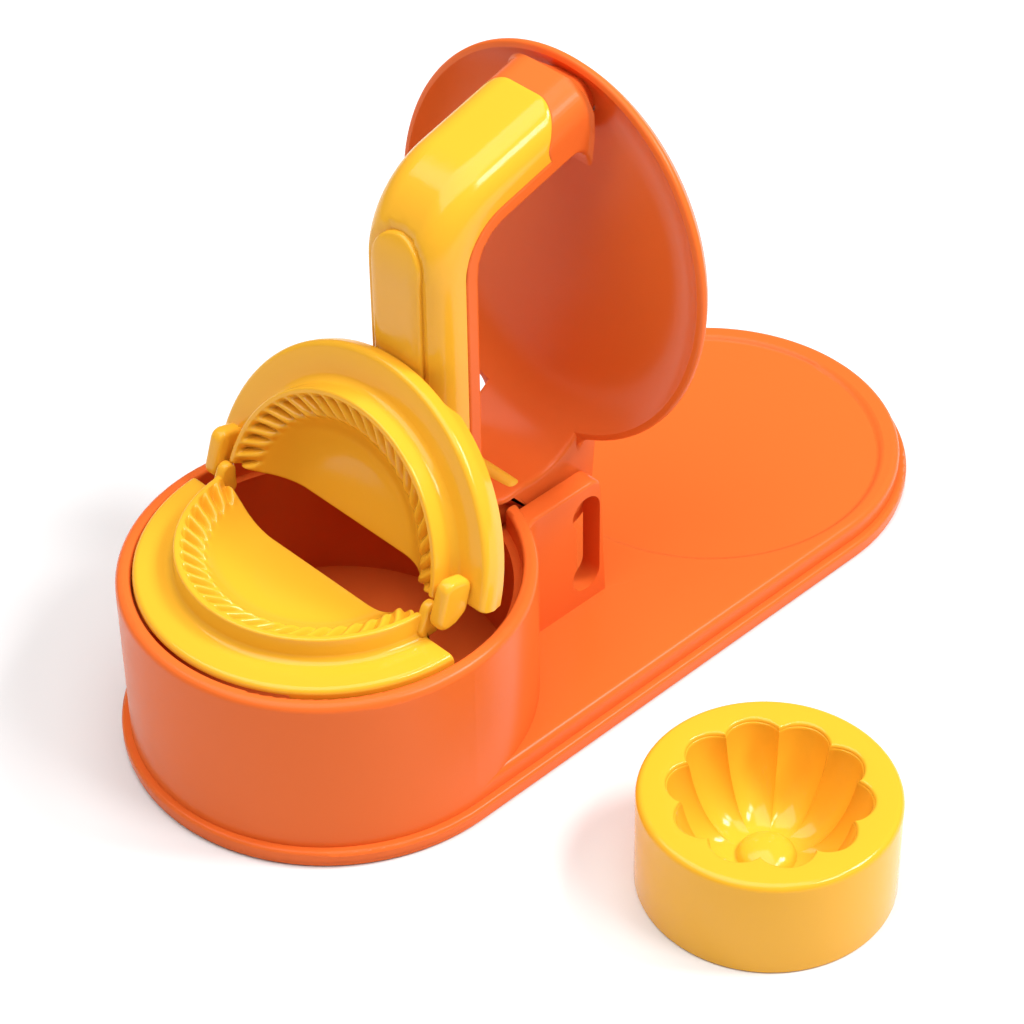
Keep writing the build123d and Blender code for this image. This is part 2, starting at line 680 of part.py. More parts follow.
with BuildPart() as handle_inlay:
    add(grip_part("skin", 1))
    add(inlay_prism(0), mode=Mode.INTERSECT)
handle_inlay.part.label = "handle_inlay"
export_step(handle_inlay.part, "parts/handle_inlay.step")


# ---- screws of the handle ----------------------------------------------
with BuildPart() as handle_screws:
    with BuildSketch(Plane.XZ.offset(-pocket_y)):
        with Locations(*handle_screw_places):
            Circle(head_r)
    extrude(amount=-head_t)
    with BuildSketch(Plane.XZ.offset(-pocket_y)):
        with Locations(*handle_screw_places):
            Circle(screw_r)
    extrude(amount=-(head_t + handle_screw_len))
handle_screws.part.label = "handle_screws"
export_step(handle_screws.part, "parts/handle_screws.step")

with BuildPart() as lid_screws:
    with BuildSketch(Plane.XY.offset(neck_low)):
        with Locations(*neck_screws):
            Circle(head_r)
    extrude(amount=head_t)
    with BuildSketch(Plane.XY.offset(neck_low)):
        with Locations(*neck_screws):
            Circle(screw_r)
    extrude(amount=head_t + screw_len)
    with BuildSketch(lid_plane.offset(-disc_depth)):
        with Locations(*foot_screws):
            Circle(head_r)
    extrude(amount=head_t)
    with BuildSketch(lid_plane.offset(-disc_depth)):
        with Locations(*foot_screws):
            Circle(screw_r)
    extrude(amount=head_t + screw_len)
lid_screws.part.label = "lid_screws"
export_step(lid_screws.part, "parts/lid_screws.step")


# ---- folding mould ------------------------------------------------------
# Each leaf is drawn lying flat, with the hinge line along X through the origin
# and the mating plane at height 0.
arm_in = knuckle_in + knuckle_w + arm_gap
arm_angle = degrees(atan2(-arm_h, arm_s))


def leaf_bowl(side):
    """Flange, skirt, raised rim, crimp band and bowl of one half."""
    with BuildPart() as leaf:
        with BuildSketch(Plane.XZ):
            with BuildLine():
                floor = Line((0, -bowl_d), (bowl_r, -bowl_d))
                up = TangentArc(floor @ 1, (crimp_in, -mate_gap - crimp_fall), tangent=floor % 1)
                top = Polyline(
                    up @ 1,
                    (crimp_out, -mate_gap),
                    (rim_top_r, -mate_gap),
                    (rim_foot_r, -step_h),
                    (leaf_r, -step_h),
                    (leaf_r, -draft_h),
                    (skirt_low_r, -skirt_low),
                    (skirt_low_r - shell_t, -skirt_low),
                    (leaf_r - shell_t, -draft_h),
                    (leaf_r - shell_t, -step_h - shell_t),
                    (rim_foot_r - shell_t / 2, -step_h - shell_t),
                    (rim_top_r - shell_t, -mate_gap - shell_t),
                    (crimp_in + shell_t / 4, -mate_gap - crimp_fall - shell_t),
                )
                down = TangentArc(
                    (bowl_r, -bowl_d - shell_t), top @ 1, tangent=(1, 0)
                )
                Polyline((bowl_r, -bowl_d - shell_t), (0, -bowl_d - shell_t), floor @ 0)
            make_face()
        revolve(axis=Axis.Z)
        outer = leaf.edges().filter_by(GeomType.CIRCLE)
        outer = outer.filter_by(lambda e: abs(e.radius - leaf_r) < 0.01)
        fillet(outer.group_by(Axis.Z)[-1], shell_t * 0.6)
        with BuildSketch(Plane.XY.offset(-2 * skirt_low)):
            with Locations((0, side * leaf_edge)):
                away = Align.MAX if side > 0 else Align.MIN
                Rectangle(3 * leaf_r, 2 * leaf_r, align=(Align.CENTER, away))
        extrude(amount=3 * skirt_low, mode=Mode.SUBTRACT)
    return leaf.part


def skirt_notch(side, half, height):
    """Wedge that opens the skirt opposite the hinge, up to a height above its edge."""
    with BuildPart() as wedge:
        with BuildSketch(Plane.XY.offset(-skirt_low)):
            with BuildLine():
                far_x = leaf_r * tan(radians(half))
                Polyline((0, 0), (-far_x, side * leaf_r), (far_x, side * leaf_r), close=True)
            make_face()
            Circle(rim_foot_r, mode=Mode.SUBTRACT)
        extrude(amount=height)
    return wedge.part


with BuildPart() as front_flat:
    add(leaf_bowl(-1))
    add(skirt_notch(-1, notch_half, skirt_h - shell_t), mode=Mode.SUBTRACT)
    for side in (-1, 1):
        with BuildSketch(Plane.YZ.offset(side * (knuckle_in + knuckle_w / 2))):
            Circle(knuckle_r)
            with BuildLine():
                Polyline(
                    (-knuckle_r, 0),
                    (-step_h - 2 * shell_t, -step_h - shell_t / 2),
                    (-leaf_edge, -step_h - shell_t / 2),
                    (0, -knuckle_r * 0.9),
                    (0, 0),
                    close=True,
                )
            make_face()
        extrude(amount=knuckle_w / 2, both=True)
    with BuildSketch(Plane.YZ):
        Circle(pin_r + axle_fit)
    extrude(amount=leaf_r, both=True, mode=Mode.SUBTRACT)

with BuildPart() as rear_flat:
    add(leaf_bowl(1))
    # the handle stands in this notch
    add(skirt_notch(1, notch_rear_half, skirt_low - notch_rear_h), mode=Mode.SUBTRACT)
    # room for the other leaf's knuckles
    for side in (-1, 1):
        with BuildSketch(Plane.YZ.offset(side * (knuckle_in + knuckle_w / 2))):
            Circle(knuckle_r + arm_gap)
        extrude(amount=knuckle_w / 2 + arm_gap, both=True, mode=Mode.SUBTRACT)
        with BuildSketch(Plane.YZ.offset(side * (arm_in + arm_w / 2))):
            with Locations((arm_s / 2, -arm_h / 2)):
                SlotCenterToCenter(hypot(arm_s, arm_h), 2 * knuckle_r, rotation=arm_angle)
        extrude(amount=arm_w / 2, both=True)
    with BuildSketch(Plane.YZ):
        Circle(pin_r + axle_fit)
    extrude(amount=leaf_r, both=True, mode=Mode.SUBTRACT)

front_leaf = hinge_plane.location * front_flat.part
front_leaf.label = "front_leaf"
export_step(front_leaf, "parts/front_leaf.step")
rear_leaf = hinge_plane.location * Rotation(leaf_tilt, 0, 0) * rear_flat.part
rear_leaf.label = "rear_leaf"
export_step(rear_leaf, "parts/rear_leaf.step")

for side, name in ((-1, "hinge_pin_left"), (1, "hinge_pin_right")):
    with BuildPart() as hinge_pin:
        with BuildSketch(Plane.YZ.offset(side * (knuckle_in + arm_gap))):
            with Locations((-half_span, hinge_z)):
                Circle(pin_r)
        extrude(amount=side * (arm_in + arm_w - knuckle_in - 2 * arm_gap))
    hinge_pin.part.label = name
    export_step(hinge_pin.part, f"parts/{name}.step")


# ---- flower mould -------------------------------------------------------
def flower(ring, petal):
    """Outline of the fluted cup: petals round a middle disc."""
    with BuildSketch() as outline:
        Circle(ring)
        with PolarLocations(ring, petals):
            Circle(petal)
    return outline.sketch


with BuildPart() as flower_mold:
    with Locations((cup_x, cup_y, ground_z)):
        Cylinder(cup_r, cup_h, align=(Align.CENTER, Align.CENTER, Align.MIN))
    fillet(flower_mold.edges().group_by(Axis.Z)[-1], cup_edge)
    with BuildSketch(Plane.XY.offset(ground_z + cup_h)):
        with Locations((cup_x, cup_y)):
            add(flower(petal_ring, petal_r))
    with BuildSketch(Plane.XY.offset(ground_z + cup_floor)):
        with Locations((cup_x, cup_y)):
            add(flower(petal_ring_low, petal_r_low))
    loft(mode=Mode.SUBTRACT)
    with BuildPart(mode=Mode.PRIVATE) as button:
        Cylinder(button_r, button_h, align=(Align.CENTER, Align.CENTER, Align.MIN))
        fillet(button.edges().group_by(Axis.Z)[-1], button_h * 0.85)
    with Locations((cup_x, cup_y, ground_z + cup_floor)):
        add(button.part)
flower_mold.part.label = "flower_mold"
export_step(flower_mold.part, "parts/flower_mold.step")
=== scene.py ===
# %% [markdown]
# # A folding dumpling press with a flower cutter
# The object has a long orange housing with a deep tub at one end. A folding
# mould of two yellow half leaves sits in the tub, a round orange lid leans
# over the platform, and a bent yellow handle joins the lid to its neck.
# Everything here is placed in metres in the frame of the solid model, so this
# first cell loads that frame, and each later cell adds one piece or finish.

# %% Load the frame
import bmesh
import bpy
import numpy as np
from mathutils import Matrix, Vector


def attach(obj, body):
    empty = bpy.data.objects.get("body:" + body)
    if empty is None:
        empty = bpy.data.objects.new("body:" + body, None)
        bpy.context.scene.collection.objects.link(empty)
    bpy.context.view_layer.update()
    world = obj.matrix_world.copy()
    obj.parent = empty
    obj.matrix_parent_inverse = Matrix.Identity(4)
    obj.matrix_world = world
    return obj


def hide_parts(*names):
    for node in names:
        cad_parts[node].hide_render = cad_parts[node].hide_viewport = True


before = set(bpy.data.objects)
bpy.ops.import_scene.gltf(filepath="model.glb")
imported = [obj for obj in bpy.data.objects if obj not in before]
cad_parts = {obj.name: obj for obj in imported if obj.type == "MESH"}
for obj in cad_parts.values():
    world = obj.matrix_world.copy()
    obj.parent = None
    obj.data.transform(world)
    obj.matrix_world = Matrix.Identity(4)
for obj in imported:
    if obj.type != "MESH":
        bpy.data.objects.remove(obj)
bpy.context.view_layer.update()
MM = 0.001
print("nodes:", sorted(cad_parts))

# %% [markdown]
# The camera stands about a metre away, to the right of the tub and well
# above it, with a long lens so that the round parts keep their shape. Its
# axis is worked out from where it stands and where it looks, then it is rolled
# by a fraction of a degree.

# %% Camera
eye = Vector((0.5556, -0.5440, 0.6849))
aim = Vector((0.000654, -0.00326, 0.030))
roll = np.radians(-0.666)
turn = (aim - eye).to_track_quat("-Z", "Y").to_matrix() @ Matrix.Rotation(roll, 3, "Z")
camera_data = bpy.data.cameras.new("camera")
camera_data.sensor_width = 36.0
camera_data.lens = 118.66
camera_data.shift_x = -0.0112
camera_data.shift_y = 0.0036
camera = bpy.data.objects.new("camera", camera_data)
camera.matrix_world = Matrix.Translation(eye) @ turn.to_4x4()
bpy.context.collection.objects.link(camera)
bpy.context.scene.camera = camera
print("camera to aim:", round((aim - eye).length, 3), "m")

# %% [markdown]
# A studio table is a pale sheet lit so brightly that it almost disappears. The
# sheet is one large quad that lies on the feet's level, and its finish is a
# matt white with a very faint mottle, so that only soft shadows show on it.

# %% Floor
def node_tree(material):
    """Start a material's nodes over and return the tree and its Principled shader."""
    material.use_nodes = True
    tree = material.node_tree
    tree.nodes.clear()
    shader = tree.nodes.new("ShaderNodeBsdfPrincipled")
    output = tree.nodes.new("ShaderNodeOutputMaterial")
    tree.links.new(shader.outputs["BSDF"], output.inputs["Surface"])
    return tree, shader


def floor_finish():
    """Matt white: two close whites mixed by a broad noise."""
    paper = bpy.data.materials.new("floor_white")
    tree, shader = node_tree(paper)
    place = tree.nodes.new("ShaderNodeTexCoord")
    noise = tree.nodes.new("ShaderNodeTexNoise")
    noise.inputs["Scale"].default_value = 3.0
    tint = tree.nodes.new("ShaderNodeMix")
    tint.data_type = "RGBA"
    tint.inputs["A"].default_value = (0.80, 0.80, 0.80, 1)
    tint.inputs["B"].default_value = (0.82, 0.82, 0.82, 1)
    tree.links.new(place.outputs["Object"], noise.inputs["Vector"])
    tree.links.new(noise.outputs["Fac"], tint.inputs["Factor"])
    tree.links.new(tint.outputs["Result"], shader.inputs["Base Color"])
    shader.inputs["Roughness"].default_value = 0.9
    shader.inputs["Specular IOR Level"].default_value = 0.1
    return paper


ground = -0.6
half = 4000.0
sheet = np.array([(-half, -half, ground), (half, -half, ground), (half, half, ground), (-half, half, ground)])
floor_mesh = bpy.data.meshes.new("floor")
floor_mesh.from_pydata((sheet * MM).tolist(), [], [(0, 1, 2, 3)])
floor_mesh.materials.append(floor_finish())
floor = bpy.data.objects.new("floor", floor_mesh)
bpy.context.collection.objects.link(floor)
print("floor at", ground, "mm")

# %% [markdown]
# Glossy plastic is drawn by what it mirrors, so the lamps are soft panels. The
# key stands high behind the right side and throws the shadows, a smaller panel
# on the right draws the long bright streak along the handle, a wide one
# overhead lights all that faces up, and a weak one at the front left and the
# white world open the shadows.

# %% Lights
def soft_lamp(name, place, target, size, power, tone=(1.0, 1.0, 1.0)):
    """An area lamp at a place in metres, turned to face a target."""
    data = bpy.data.lights.new(name, "AREA")
    data.shape = "RECTANGLE"
    data.size, data.size_y = size
    data.energy = power
    data.color = tone
    lamp = bpy.data.objects.new(name, data)
    direction = Vector(target) - Vector(place)
    spin = direction.to_track_quat("-Z", "Y").to_matrix().to_4x4()
    lamp.matrix_world = Matrix.Translation(Vector(place)) @ spin
    bpy.context.collection.objects.link(lamp)
    return lamp


soft_lamp("key", (0.85, 0.8, 1.45), (0.0, 0.0, 0.05), (0.5, 0.5), 23.0)
soft_lamp("strip", (0.95, 0.18, 1.25), (0.0, 0.0, 0.15), (0.36, 0.36), 7.0)
soft_lamp("top", (-0.15, -0.3, 1.7), (0.0, 0.0, 0.0), (1.8, 1.8), 34.0)
soft_lamp("fill", (-0.9, -1.2, 0.8), (0.0, 0.0, 0.05), (1.2, 1.2), 0.5)
world = bpy.data.worlds.new("studio")
world.use_nodes = True
world.node_tree.nodes["Background"].inputs["Color"].default_value = (1.0, 1.0, 1.0, 1)
world.node_tree.nodes["Background"].inputs["Strength"].default_value = 0.15
bpy.context.scene.world = world
bpy.context.scene.view_settings.view_transform = "Standard"

# %% [markdown]
# Injection moulded plastic is smooth but never perfect. One shader group gives
# all of it: a slow drift of the colour, as pigment flows with the melt, a fine
# drift of the roughness, and a very low bump from the polished steel of the
# tool. Each finish then sets its own colours on the group.

# %% Plastic
def plastic_group():
    """Group of colour, roughness and bump patterns, all read from Object coordinates."""
    group = bpy.data.node_groups.new("moulded_plastic", "ShaderNodeTree")
    face = group.interface
    for name, kind in (("Pale", "NodeSocketColor"), ("Deep", "NodeSocketColor")):
        face.new_socket(name, in_out="INPUT", socket_type=kind)
    for name, value in (("Gloss low", 0.22), ("Gloss high", 0.32), ("Skin", 0.00002)):
        socket = face.new_socket(name, in_out="INPUT", socket_type="NodeSocketFloat")
        socket.default_value = value
    face.new_socket("Color", in_out="OUTPUT", socket_type="NodeSocketColor")
    face.new_socket("Roughness", in_out="OUTPUT", socket_type="NodeSocketFloat")
    face.new_socket("Normal", in_out="OUTPUT", socket_type="NodeSocketVector")
    nodes, links = group.nodes, group.links
    given = nodes.new("NodeGroupInput")
    result = nodes.new("NodeGroupOutput")
    place = nodes.new("ShaderNodeTexCoord")

    def noise(scale, detail):
        node = nodes.new("ShaderNodeTexNoise")
        node.inputs["Scale"].default_value = scale
        node.inputs["Detail"].default_value = detail
        links.new(place.outputs["Object"], node.inputs["Vector"])
        return node.outputs["Fac"]

    tint = nodes.new("ShaderNodeMix")
    tint.data_type = "RGBA"
    links.new(noise(14.0, 2.0), tint.inputs["Factor"])
    links.new(given.outputs["Pale"], tint.inputs["A"])
    links.new(given.outputs["Deep"], tint.inputs["B"])
    links.new(tint.outputs["Result"], result.inputs["Color"])
    gloss = nodes.new("ShaderNodeMapRange")
    links.new(noise(45.0, 3.0), gloss.inputs["Value"])
    gloss.inputs["From Min"].default_value = 0.3
    gloss.inputs["From Max"].default_value = 0.7
    links.new(given.outputs["Gloss low"], gloss.inputs["To Min"])
    links.new(given.outputs["Gloss high"], gloss.inputs["To Max"])
    links.new(gloss.outputs["Result"], result.inputs["Roughness"])
    bump = nodes.new("ShaderNodeBump")
    bump.inputs["Strength"].default_value = 1.0
    links.new(noise(400.0, 2.0), bump.inputs["Height"])
    links.new(given.outputs["Skin"], bump.inputs["Distance"])
    links.new(bump.outputs["Normal"], result.inputs["Normal"])
    return group


moulded = plastic_group()


def plastic(name, pale, deep, low=0.2, high=0.3, skin=0.00002, shine=0.3):
    """A finish of the shared group: two close colours, the range of its roughness from
    low to high, the depth of its bump in metres, and the strength of its mirror part.
    """
    finish = bpy.data.materials.new(name)
    tree, shader = node_tree(finish)
    group = tree.nodes.new("ShaderNodeGroup")
    group.node_tree = moulded
    group.inputs["Pale"].default_value = (*pale, 1)
    group.inputs["Deep"].default_value = (*deep, 1)
    group.inputs["Gloss low"].default_value = low
    group.inputs["Gloss high"].default_value = high
    group.inputs["Skin"].default_value = skin
    tree.links.new(group.outputs["Color"], shader.inputs["Base Color"])
    tree.links.new(group.outputs["Roughness"], shader.inputs["Roughness"])
    tree.links.new(group.outputs["Normal"], shader.inputs["Normal"])
    shader.inputs["IOR"].default_value = 1.45
    shader.inputs["Specular IOR Level"].default_value = shine
    return finish


orange = plastic("orange_plastic", (0.80, 0.148, 0.026), (0.79, 0.144, 0.024), 0.24, 0.27, shine=0.18)
yellow = plastic("yellow_plastic", (0.86, 0.425, 0.028), (0.85, 0.415, 0.024), 0.13, 0.16, shine=0.36)
yellow_soft = plastic("yellow_soft", (0.90, 0.50, 0.04), (0.86, 0.46, 0.03), 0.5, 0.6, skin=0.00004)
rubber = plastic("foot_rubber", (0.035, 0.034, 0.033), (0.05, 0.048, 0.046), 0.7, 0.85, skin=0.0001)
print("finishes:", orange.name, yellow.name, yellow_soft.name, rubber.name)

# %% [markdown]
# Small steel parts, the screws and the hinge pins, are turned or headed from
# wire, which leaves marks too fine to see one by one. So one fine noise varies
# both their roughness and their tone.

# %% Steel
def steel(name, tone, low, high):
    """Bare steel: metallic, its roughness drawn by fine noise."""
    finish = bpy.data.materials.new(name)
    tree, shader = node_tree(finish)
    place = tree.nodes.new("ShaderNodeTexCoord")
    noise = tree.nodes.new("ShaderNodeTexNoise")
    noise.inputs["Scale"].default_value = 900.0
    noise.inputs["Detail"].default_value = 4.0
    gloss = tree.nodes.new("ShaderNodeMapRange")
    gloss.inputs["To Min"].default_value = low
    gloss.inputs["To Max"].default_value = high
    shade = tree.nodes.new("ShaderNodeMix")
    shade.data_type = "RGBA"
    shade.inputs["A"].default_value = (*tone, 1)
    shade.inputs["B"].default_value = (*[0.85 * t for t in tone], 1)
    tree.links.new(place.outputs["Object"], noise.inputs["Vector"])
    tree.links.new(noise.outputs["Fac"], gloss.inputs["Value"])
    tree.links.new(noise.outputs["Fac"], shade.inputs["Factor"])
    tree.links.new(gloss.outputs["Result"], shader.inputs["Roughness"])
    tree.links.new(shade.outputs["Result"], shader.inputs["Base Color"])
    shader.inputs["Metallic"].default_value = 1.0
    return finish


screw_steel = steel("screw_steel", (0.62, 0.62, 0.60), 0.25, 0.45)
pin_steel = steel("pin_steel", (0.70, 0.70, 0.69), 0.15, 0.3)
print("steels:", screw_steel.name, pin_steel.name)

# %% [markdown]
# The record names one material slot for each kind of surface, and every piece
# below takes its finish from that list.

# %% Finish of each slot
finishes = {
    "orange_plastic": orange,
    "yellow_plastic": yellow,
    "yellow_soft": yellow_soft,
    "foot_rubber": rubber,
    "screw_steel": screw_steel,
    "pin_steel": pin_steel,
}
print("slots:", sorted(finishes))

# %% [markdown]
# A mesh here is a grid of points, or a closed set of grids. A wall is two
# grids, one for each of its faces, with a strip of faces along each of the
# four borders. Working on whole arrays keeps every shape a short formula.

# %% Grids and shells
def grid_quads(rows, cols, start=0, flip=False):
    """Index quads of a rows x cols grid of points that begins at start."""
    r, c = np.meshgrid(np.arange(rows - 1), np.arange(cols - 1), indexing="ij")
    a = start + r * cols + c
    quads = np.stack([a, a + 1, a + cols + 1, a + cols], axis=-1).reshape(-1, 4)
    return quads[:, ::-1] if flip else quads


def strip_quads(one, two):
    """Quads between two rows of point numbers of the same length."""
    return np.stack([one[:-1], one[1:], two[1:], two[:-1]], axis=-1)


def wall(face, back):
    """Close two grids of the same shape into a shell: face, back and four borders."""
    rows, cols, _ = face.shape
    n = rows * cols
    number = np.arange(n).reshape(rows, cols)
    faces = [grid_quads(rows, cols), grid_quads(rows, cols, n, flip=True)]
    for row in (number[0], number[:, -1], number[-1, ::-1], number[::-1, 0]):
        faces.append(strip_quads(row, row + n)[:, ::-1])
    return np.concatenate([face.reshape(-1, 3), back.reshape(-1, 3)]), np.concatenate(faces)


def join(*shells):
    """Put several (points, quads) pairs into one pair."""
    points, faces, start = [], [], 0
    for some_points, some_faces in shells:
        points.append(some_points)
        faces.append(some_faces + start)
        start += len(some_points)
    return np.concatenate(points), np.concatenate(faces)


def make_piece(name, points, quads, body, slot, replaced=(), smooth=0.7):
    """An object from points in millimetres and quads; doubles merged, faces turned outwards.

    Edges that turn by more than smooth, in radians, stay sharp.
    """
    mesh = bpy.data.meshes.new(name)
    mesh.from_pydata((np.asarray(points) * MM).tolist(), [], quads.tolist())
    form = bmesh.new()
    form.from_mesh(mesh)
    bmesh.ops.remove_doubles(form, verts=form.verts, dist=2e-6)
    bmesh.ops.dissolve_degenerate(form, edges=form.edges, dist=1e-6)
    bmesh.ops.recalc_face_normals(form, faces=form.faces)
    form.to_mesh(mesh)
    form.free()
    mesh.shade_smooth()
    mesh.set_sharp_from_angle(angle=smooth)
    mesh.materials.append(finishes[slot])
    piece = bpy.data.objects.new(name, mesh)
    bpy.context.collection.objects.link(piece)
    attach(piece, body)
    if replaced:
        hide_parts(*replaced)
    print(name, len(mesh.polygons), "faces")


print("grid helpers ready")

# %% [markdown]
# Moulded plastic has no sharp corner, so most section lines are drawn with
# straight sides first and then get an arc at each corner. A smooth step blends
# one width or height into another.

# %% Rounded lines
def smoothstep(value, low, high):
    """0 below low, 1 above high, and the cubic 3t^2 - 2t^3 between."""
    t = np.clip((value - low) / (high - low), 0.0, 1.0)
    return t * t * (3.0 - 2.0 * t)


def round_path(corners, radii, steps=6):
    """Polyline with each inner corner replaced by an arc tangent to both its sides.

    At a corner, the arc starts r / tan(half the angle) before it and ends as far
    after it; its points are the corner's two tangent points and the arc between.
    """
    corners = np.asarray(corners, float)
    path = [corners[:1]]
    for before, here, after, r in zip(corners, corners[1:], corners[2:], radii):
        a = (before - here) / np.linalg.norm(before - here)
        b = (after - here) / np.linalg.norm(after - here)
        half = np.arccos(np.clip(a @ b, -1, 1)) / 2
        if r <= 0 or half > 1.55:
            path.append(here[None])
            continue
        start, end = here + a * r / np.tan(half), here + b * r / np.tan(half)
        centre = here + (a + b) / np.linalg.norm(a + b) * r / np.sin(half)
        u, v = start - centre, end - centre
        sweep = np.arccos(np.clip(u @ v / (r * r), -1, 1))
        t = np.linspace(0, 1, steps + 1)[:, None]
        path.append(centre + (np.sin((1 - t) * sweep) * u + np.sin(t * sweep) * v) / np.sin(sweep))
    path.append(corners[-1:])
    return np.concatenate(path)


print("a rounded right angle:", round_path([(0, 0), (1, 0), (1, 1)], [0.5], 2).round(2).tolist())

# %% [markdown]
# ## The folding mould
# Two half leaves of thin yellow plastic turn on a common hinge. Each has a
# smooth half bowl for the filling, a band of slanted ribs that crimps the
# dough, a raised rim, a flat flange and a skirt that hangs into the tub. A
# potter would turn this on a wheel: one section line carried round half a
# turn. So the leaf is a section in radius and height, swept round, and the
# ribs are a wave added to the heights of the band.

# %% Section of a leaf
hinge = np.array([0.0, -80.5, 68.0])      # middle of the hinge line
leaf_edge = 2.75                          # straight edge of a leaf, from the hinge line
leaf_tilt = np.radians(72.0)              # the rear leaf, from lying flat


def bowl_arc(floor_r, floor_h, end_r, end_h, count):
    """Arc that leaves the bowl's floor level and rises to its end point."""
    rise, run = end_h - floor_h, end_r - floor_r
    radius = (rise * rise + run * run) / (2 * rise)
    a = np.linspace(0, np.arcsin(run / radius), count)
    return np.stack([floor_r + radius * np.sin(a), floor_h + radius * (1 - np.cos(a))], axis=1)


def resample(path, count):
    """Points at even steps of length along a polyline."""
    run = np.concatenate([[0], np.cumsum(np.linalg.norm(np.diff(path, axis=0), axis=1))])
    at = np.linspace(0, run[-1], count)
    return np.stack([np.interp(at, run, path[:, k]) for k in range(path.shape[1])], axis=1)


bowl_top = bowl_arc(20.0, -10.5, 33.0, -4.6, 14)
band_line = round_path([(33.0, -4.6), (34.2, -3.9), (40.0, -4.1), (41.0, -0.4)], [1.0, 0.8])
band_top = resample(band_line, 34)
rim_line = [(41.0, -0.4), (41.25, -0.15), (42.75, -0.15), (43.4, -7.5), (48.0, -7.5)]
rim_top = round_path(rim_line, [0.2, 0.7, 2.6], 8)
flange_top = round_path([(48.0, -7.5), (55.0, -7.5), (55.0, -9.4)], [1.8], 7)
skirt_top = round_path([(55.0, -9.4), (55.0, -12.0), (53.5, -16.45)], [6.0], steps=3)
bowl_under = bowl_arc(20.0, -12.5, 34.6, -6.2, 14)
band_under = [(34.6, -6.2), (35.6, -5.7), (41.2, -5.7), (41.8, -9.5), (48.0, -9.5)]
band_under = round_path(band_under, [0.8, 0.6, 1.0])
flange_under = np.array([(48.0, -9.5), (53.0, -9.5)])
skirt_under = round_path([(53.0, -9.5), (53.0, -12.0), (51.5, -16.45)], [6.0], steps=3)
print("section points:", len(bowl_top) + len(band_top) + len(rim_top) + len(flange_top) + len(skirt_top))

# %% [markdown]
# Three functions turn the section into a surface. One gives the angles round
# it, one the height of the ribs, and one the whole grid, with the skirt below
# and the flat floor inwards to the straight edge.

# %% Leaf as a grid
ribs = 25
rib_lean = 0.0187        # how far a rib turns round, in radians for each mm inwards
rib_crest = np.array([(33.2, -4.4), (34.5, -2.5), (36.0, -1.7), (41.2, -0.15)])
corner_r = 0.8           # rounding of the straight edge
skirt_r = 54.0           # middle radius of the skirt


def leaf_angles(radius, steps):
    """Angles round the leaf, even in the middle and packed beside the straight edge.

    A point at radius R and angle a is R sin(a) from the hinge line, so a line of
    points at a fixed distance d from it has the angle arcsin(d / R).
    """
    near = leaf_edge + corner_r * (1 - np.cos(np.linspace(0, np.pi / 2, 5)))
    low = np.arcsin(near[None, :] / radius[:, None])
    middle = np.linspace(0, 1, steps)[None, 1:-1]
    span = low[:, -1:] + middle * (np.pi - 2 * low[:, -1:])
    return np.concatenate([low, span, np.pi - low[:, ::-1]], axis=1)


def rib_height(radius, height, angle):
    """How far the ribs lift the band: up to the crest line rib_crest, by a wave round the leaf.

    The wave is sqrt((cos^2 p + e) / (1 + e)), so its crests are round and its
    hollows sharp. p grows by pi from rib to rib and turns as it goes inwards.
    """
    crest = np.interp(radius, *rib_crest.T, left=-99.0, right=-99.0)
    phase = ribs * (angle - rib_lean * (rib_crest[-1, 0] - radius))
    wave = np.sqrt((np.cos(phase) ** 2 + 0.015) / 1.015)
    return np.clip(crest - height, 0, None) * wave


def leaf_grid(pieces, steps, ribbed, skirt_share):
    """Sweep the section round half a turn; skirt_share(angle) is how much of the skirt is there."""
    *body, skirt = pieces
    section = np.concatenate(body)
    angle = leaf_angles(section[:, 0], steps)
    radius = np.repeat(section[:, :1], angle.shape[1], axis=1)
    height = np.repeat(section[:, 1:], angle.shape[1], axis=1)
    if ribbed:
        height = height + rib_height(radius, height, angle)
    # skirt: each column runs along the skirt's line as far as its share
    rows, stations = 8, np.linspace(0, 1, 40)
    line = resample(skirt, len(stations))
    along = np.linspace(0, 1, rows + 1)[1:, None] * skirt_share(leaf_angles(np.full(rows, skirt_r), steps))
    radius = np.concatenate([radius, np.interp(along, stations, line[:, 0])])
    height = np.concatenate([height, np.interp(along, stations, line[:, 1])])
    angle = np.concatenate([angle, leaf_angles(radius[-rows:].mean(axis=1), steps)])
    x, s = -radius * np.cos(angle), radius * np.sin(angle)
    # floor: straight columns from the arc's start in to the straight edge
    near = leaf_edge + corner_r * (1 - np.cos(np.linspace(0, np.pi / 2, 5)))
    inside = np.minimum(near[:, None], s[0][None, :])
    more = np.linspace(0, 1, 6)[1:-1, None] * (s[0] - inside[-1])[None, :] + inside[-1][None, :]
    floor_s = np.concatenate([inside, more])
    floor_x = np.repeat(x[:1], len(floor_s), axis=0)
    floor_h = np.full_like(floor_s, section[0, 1])
    return np.concatenate([floor_x, x]), np.concatenate([floor_s, s]), np.concatenate([floor_h, height])


print("ribs in a leaf:", ribs)

# %% [markdown]
# The two faces of a leaf meet in a soft straight edge, so both turn over
# there. The blocks at the hinge are flat pebbles. The last function lays a
# leaf down or leans it back on the hinge line.

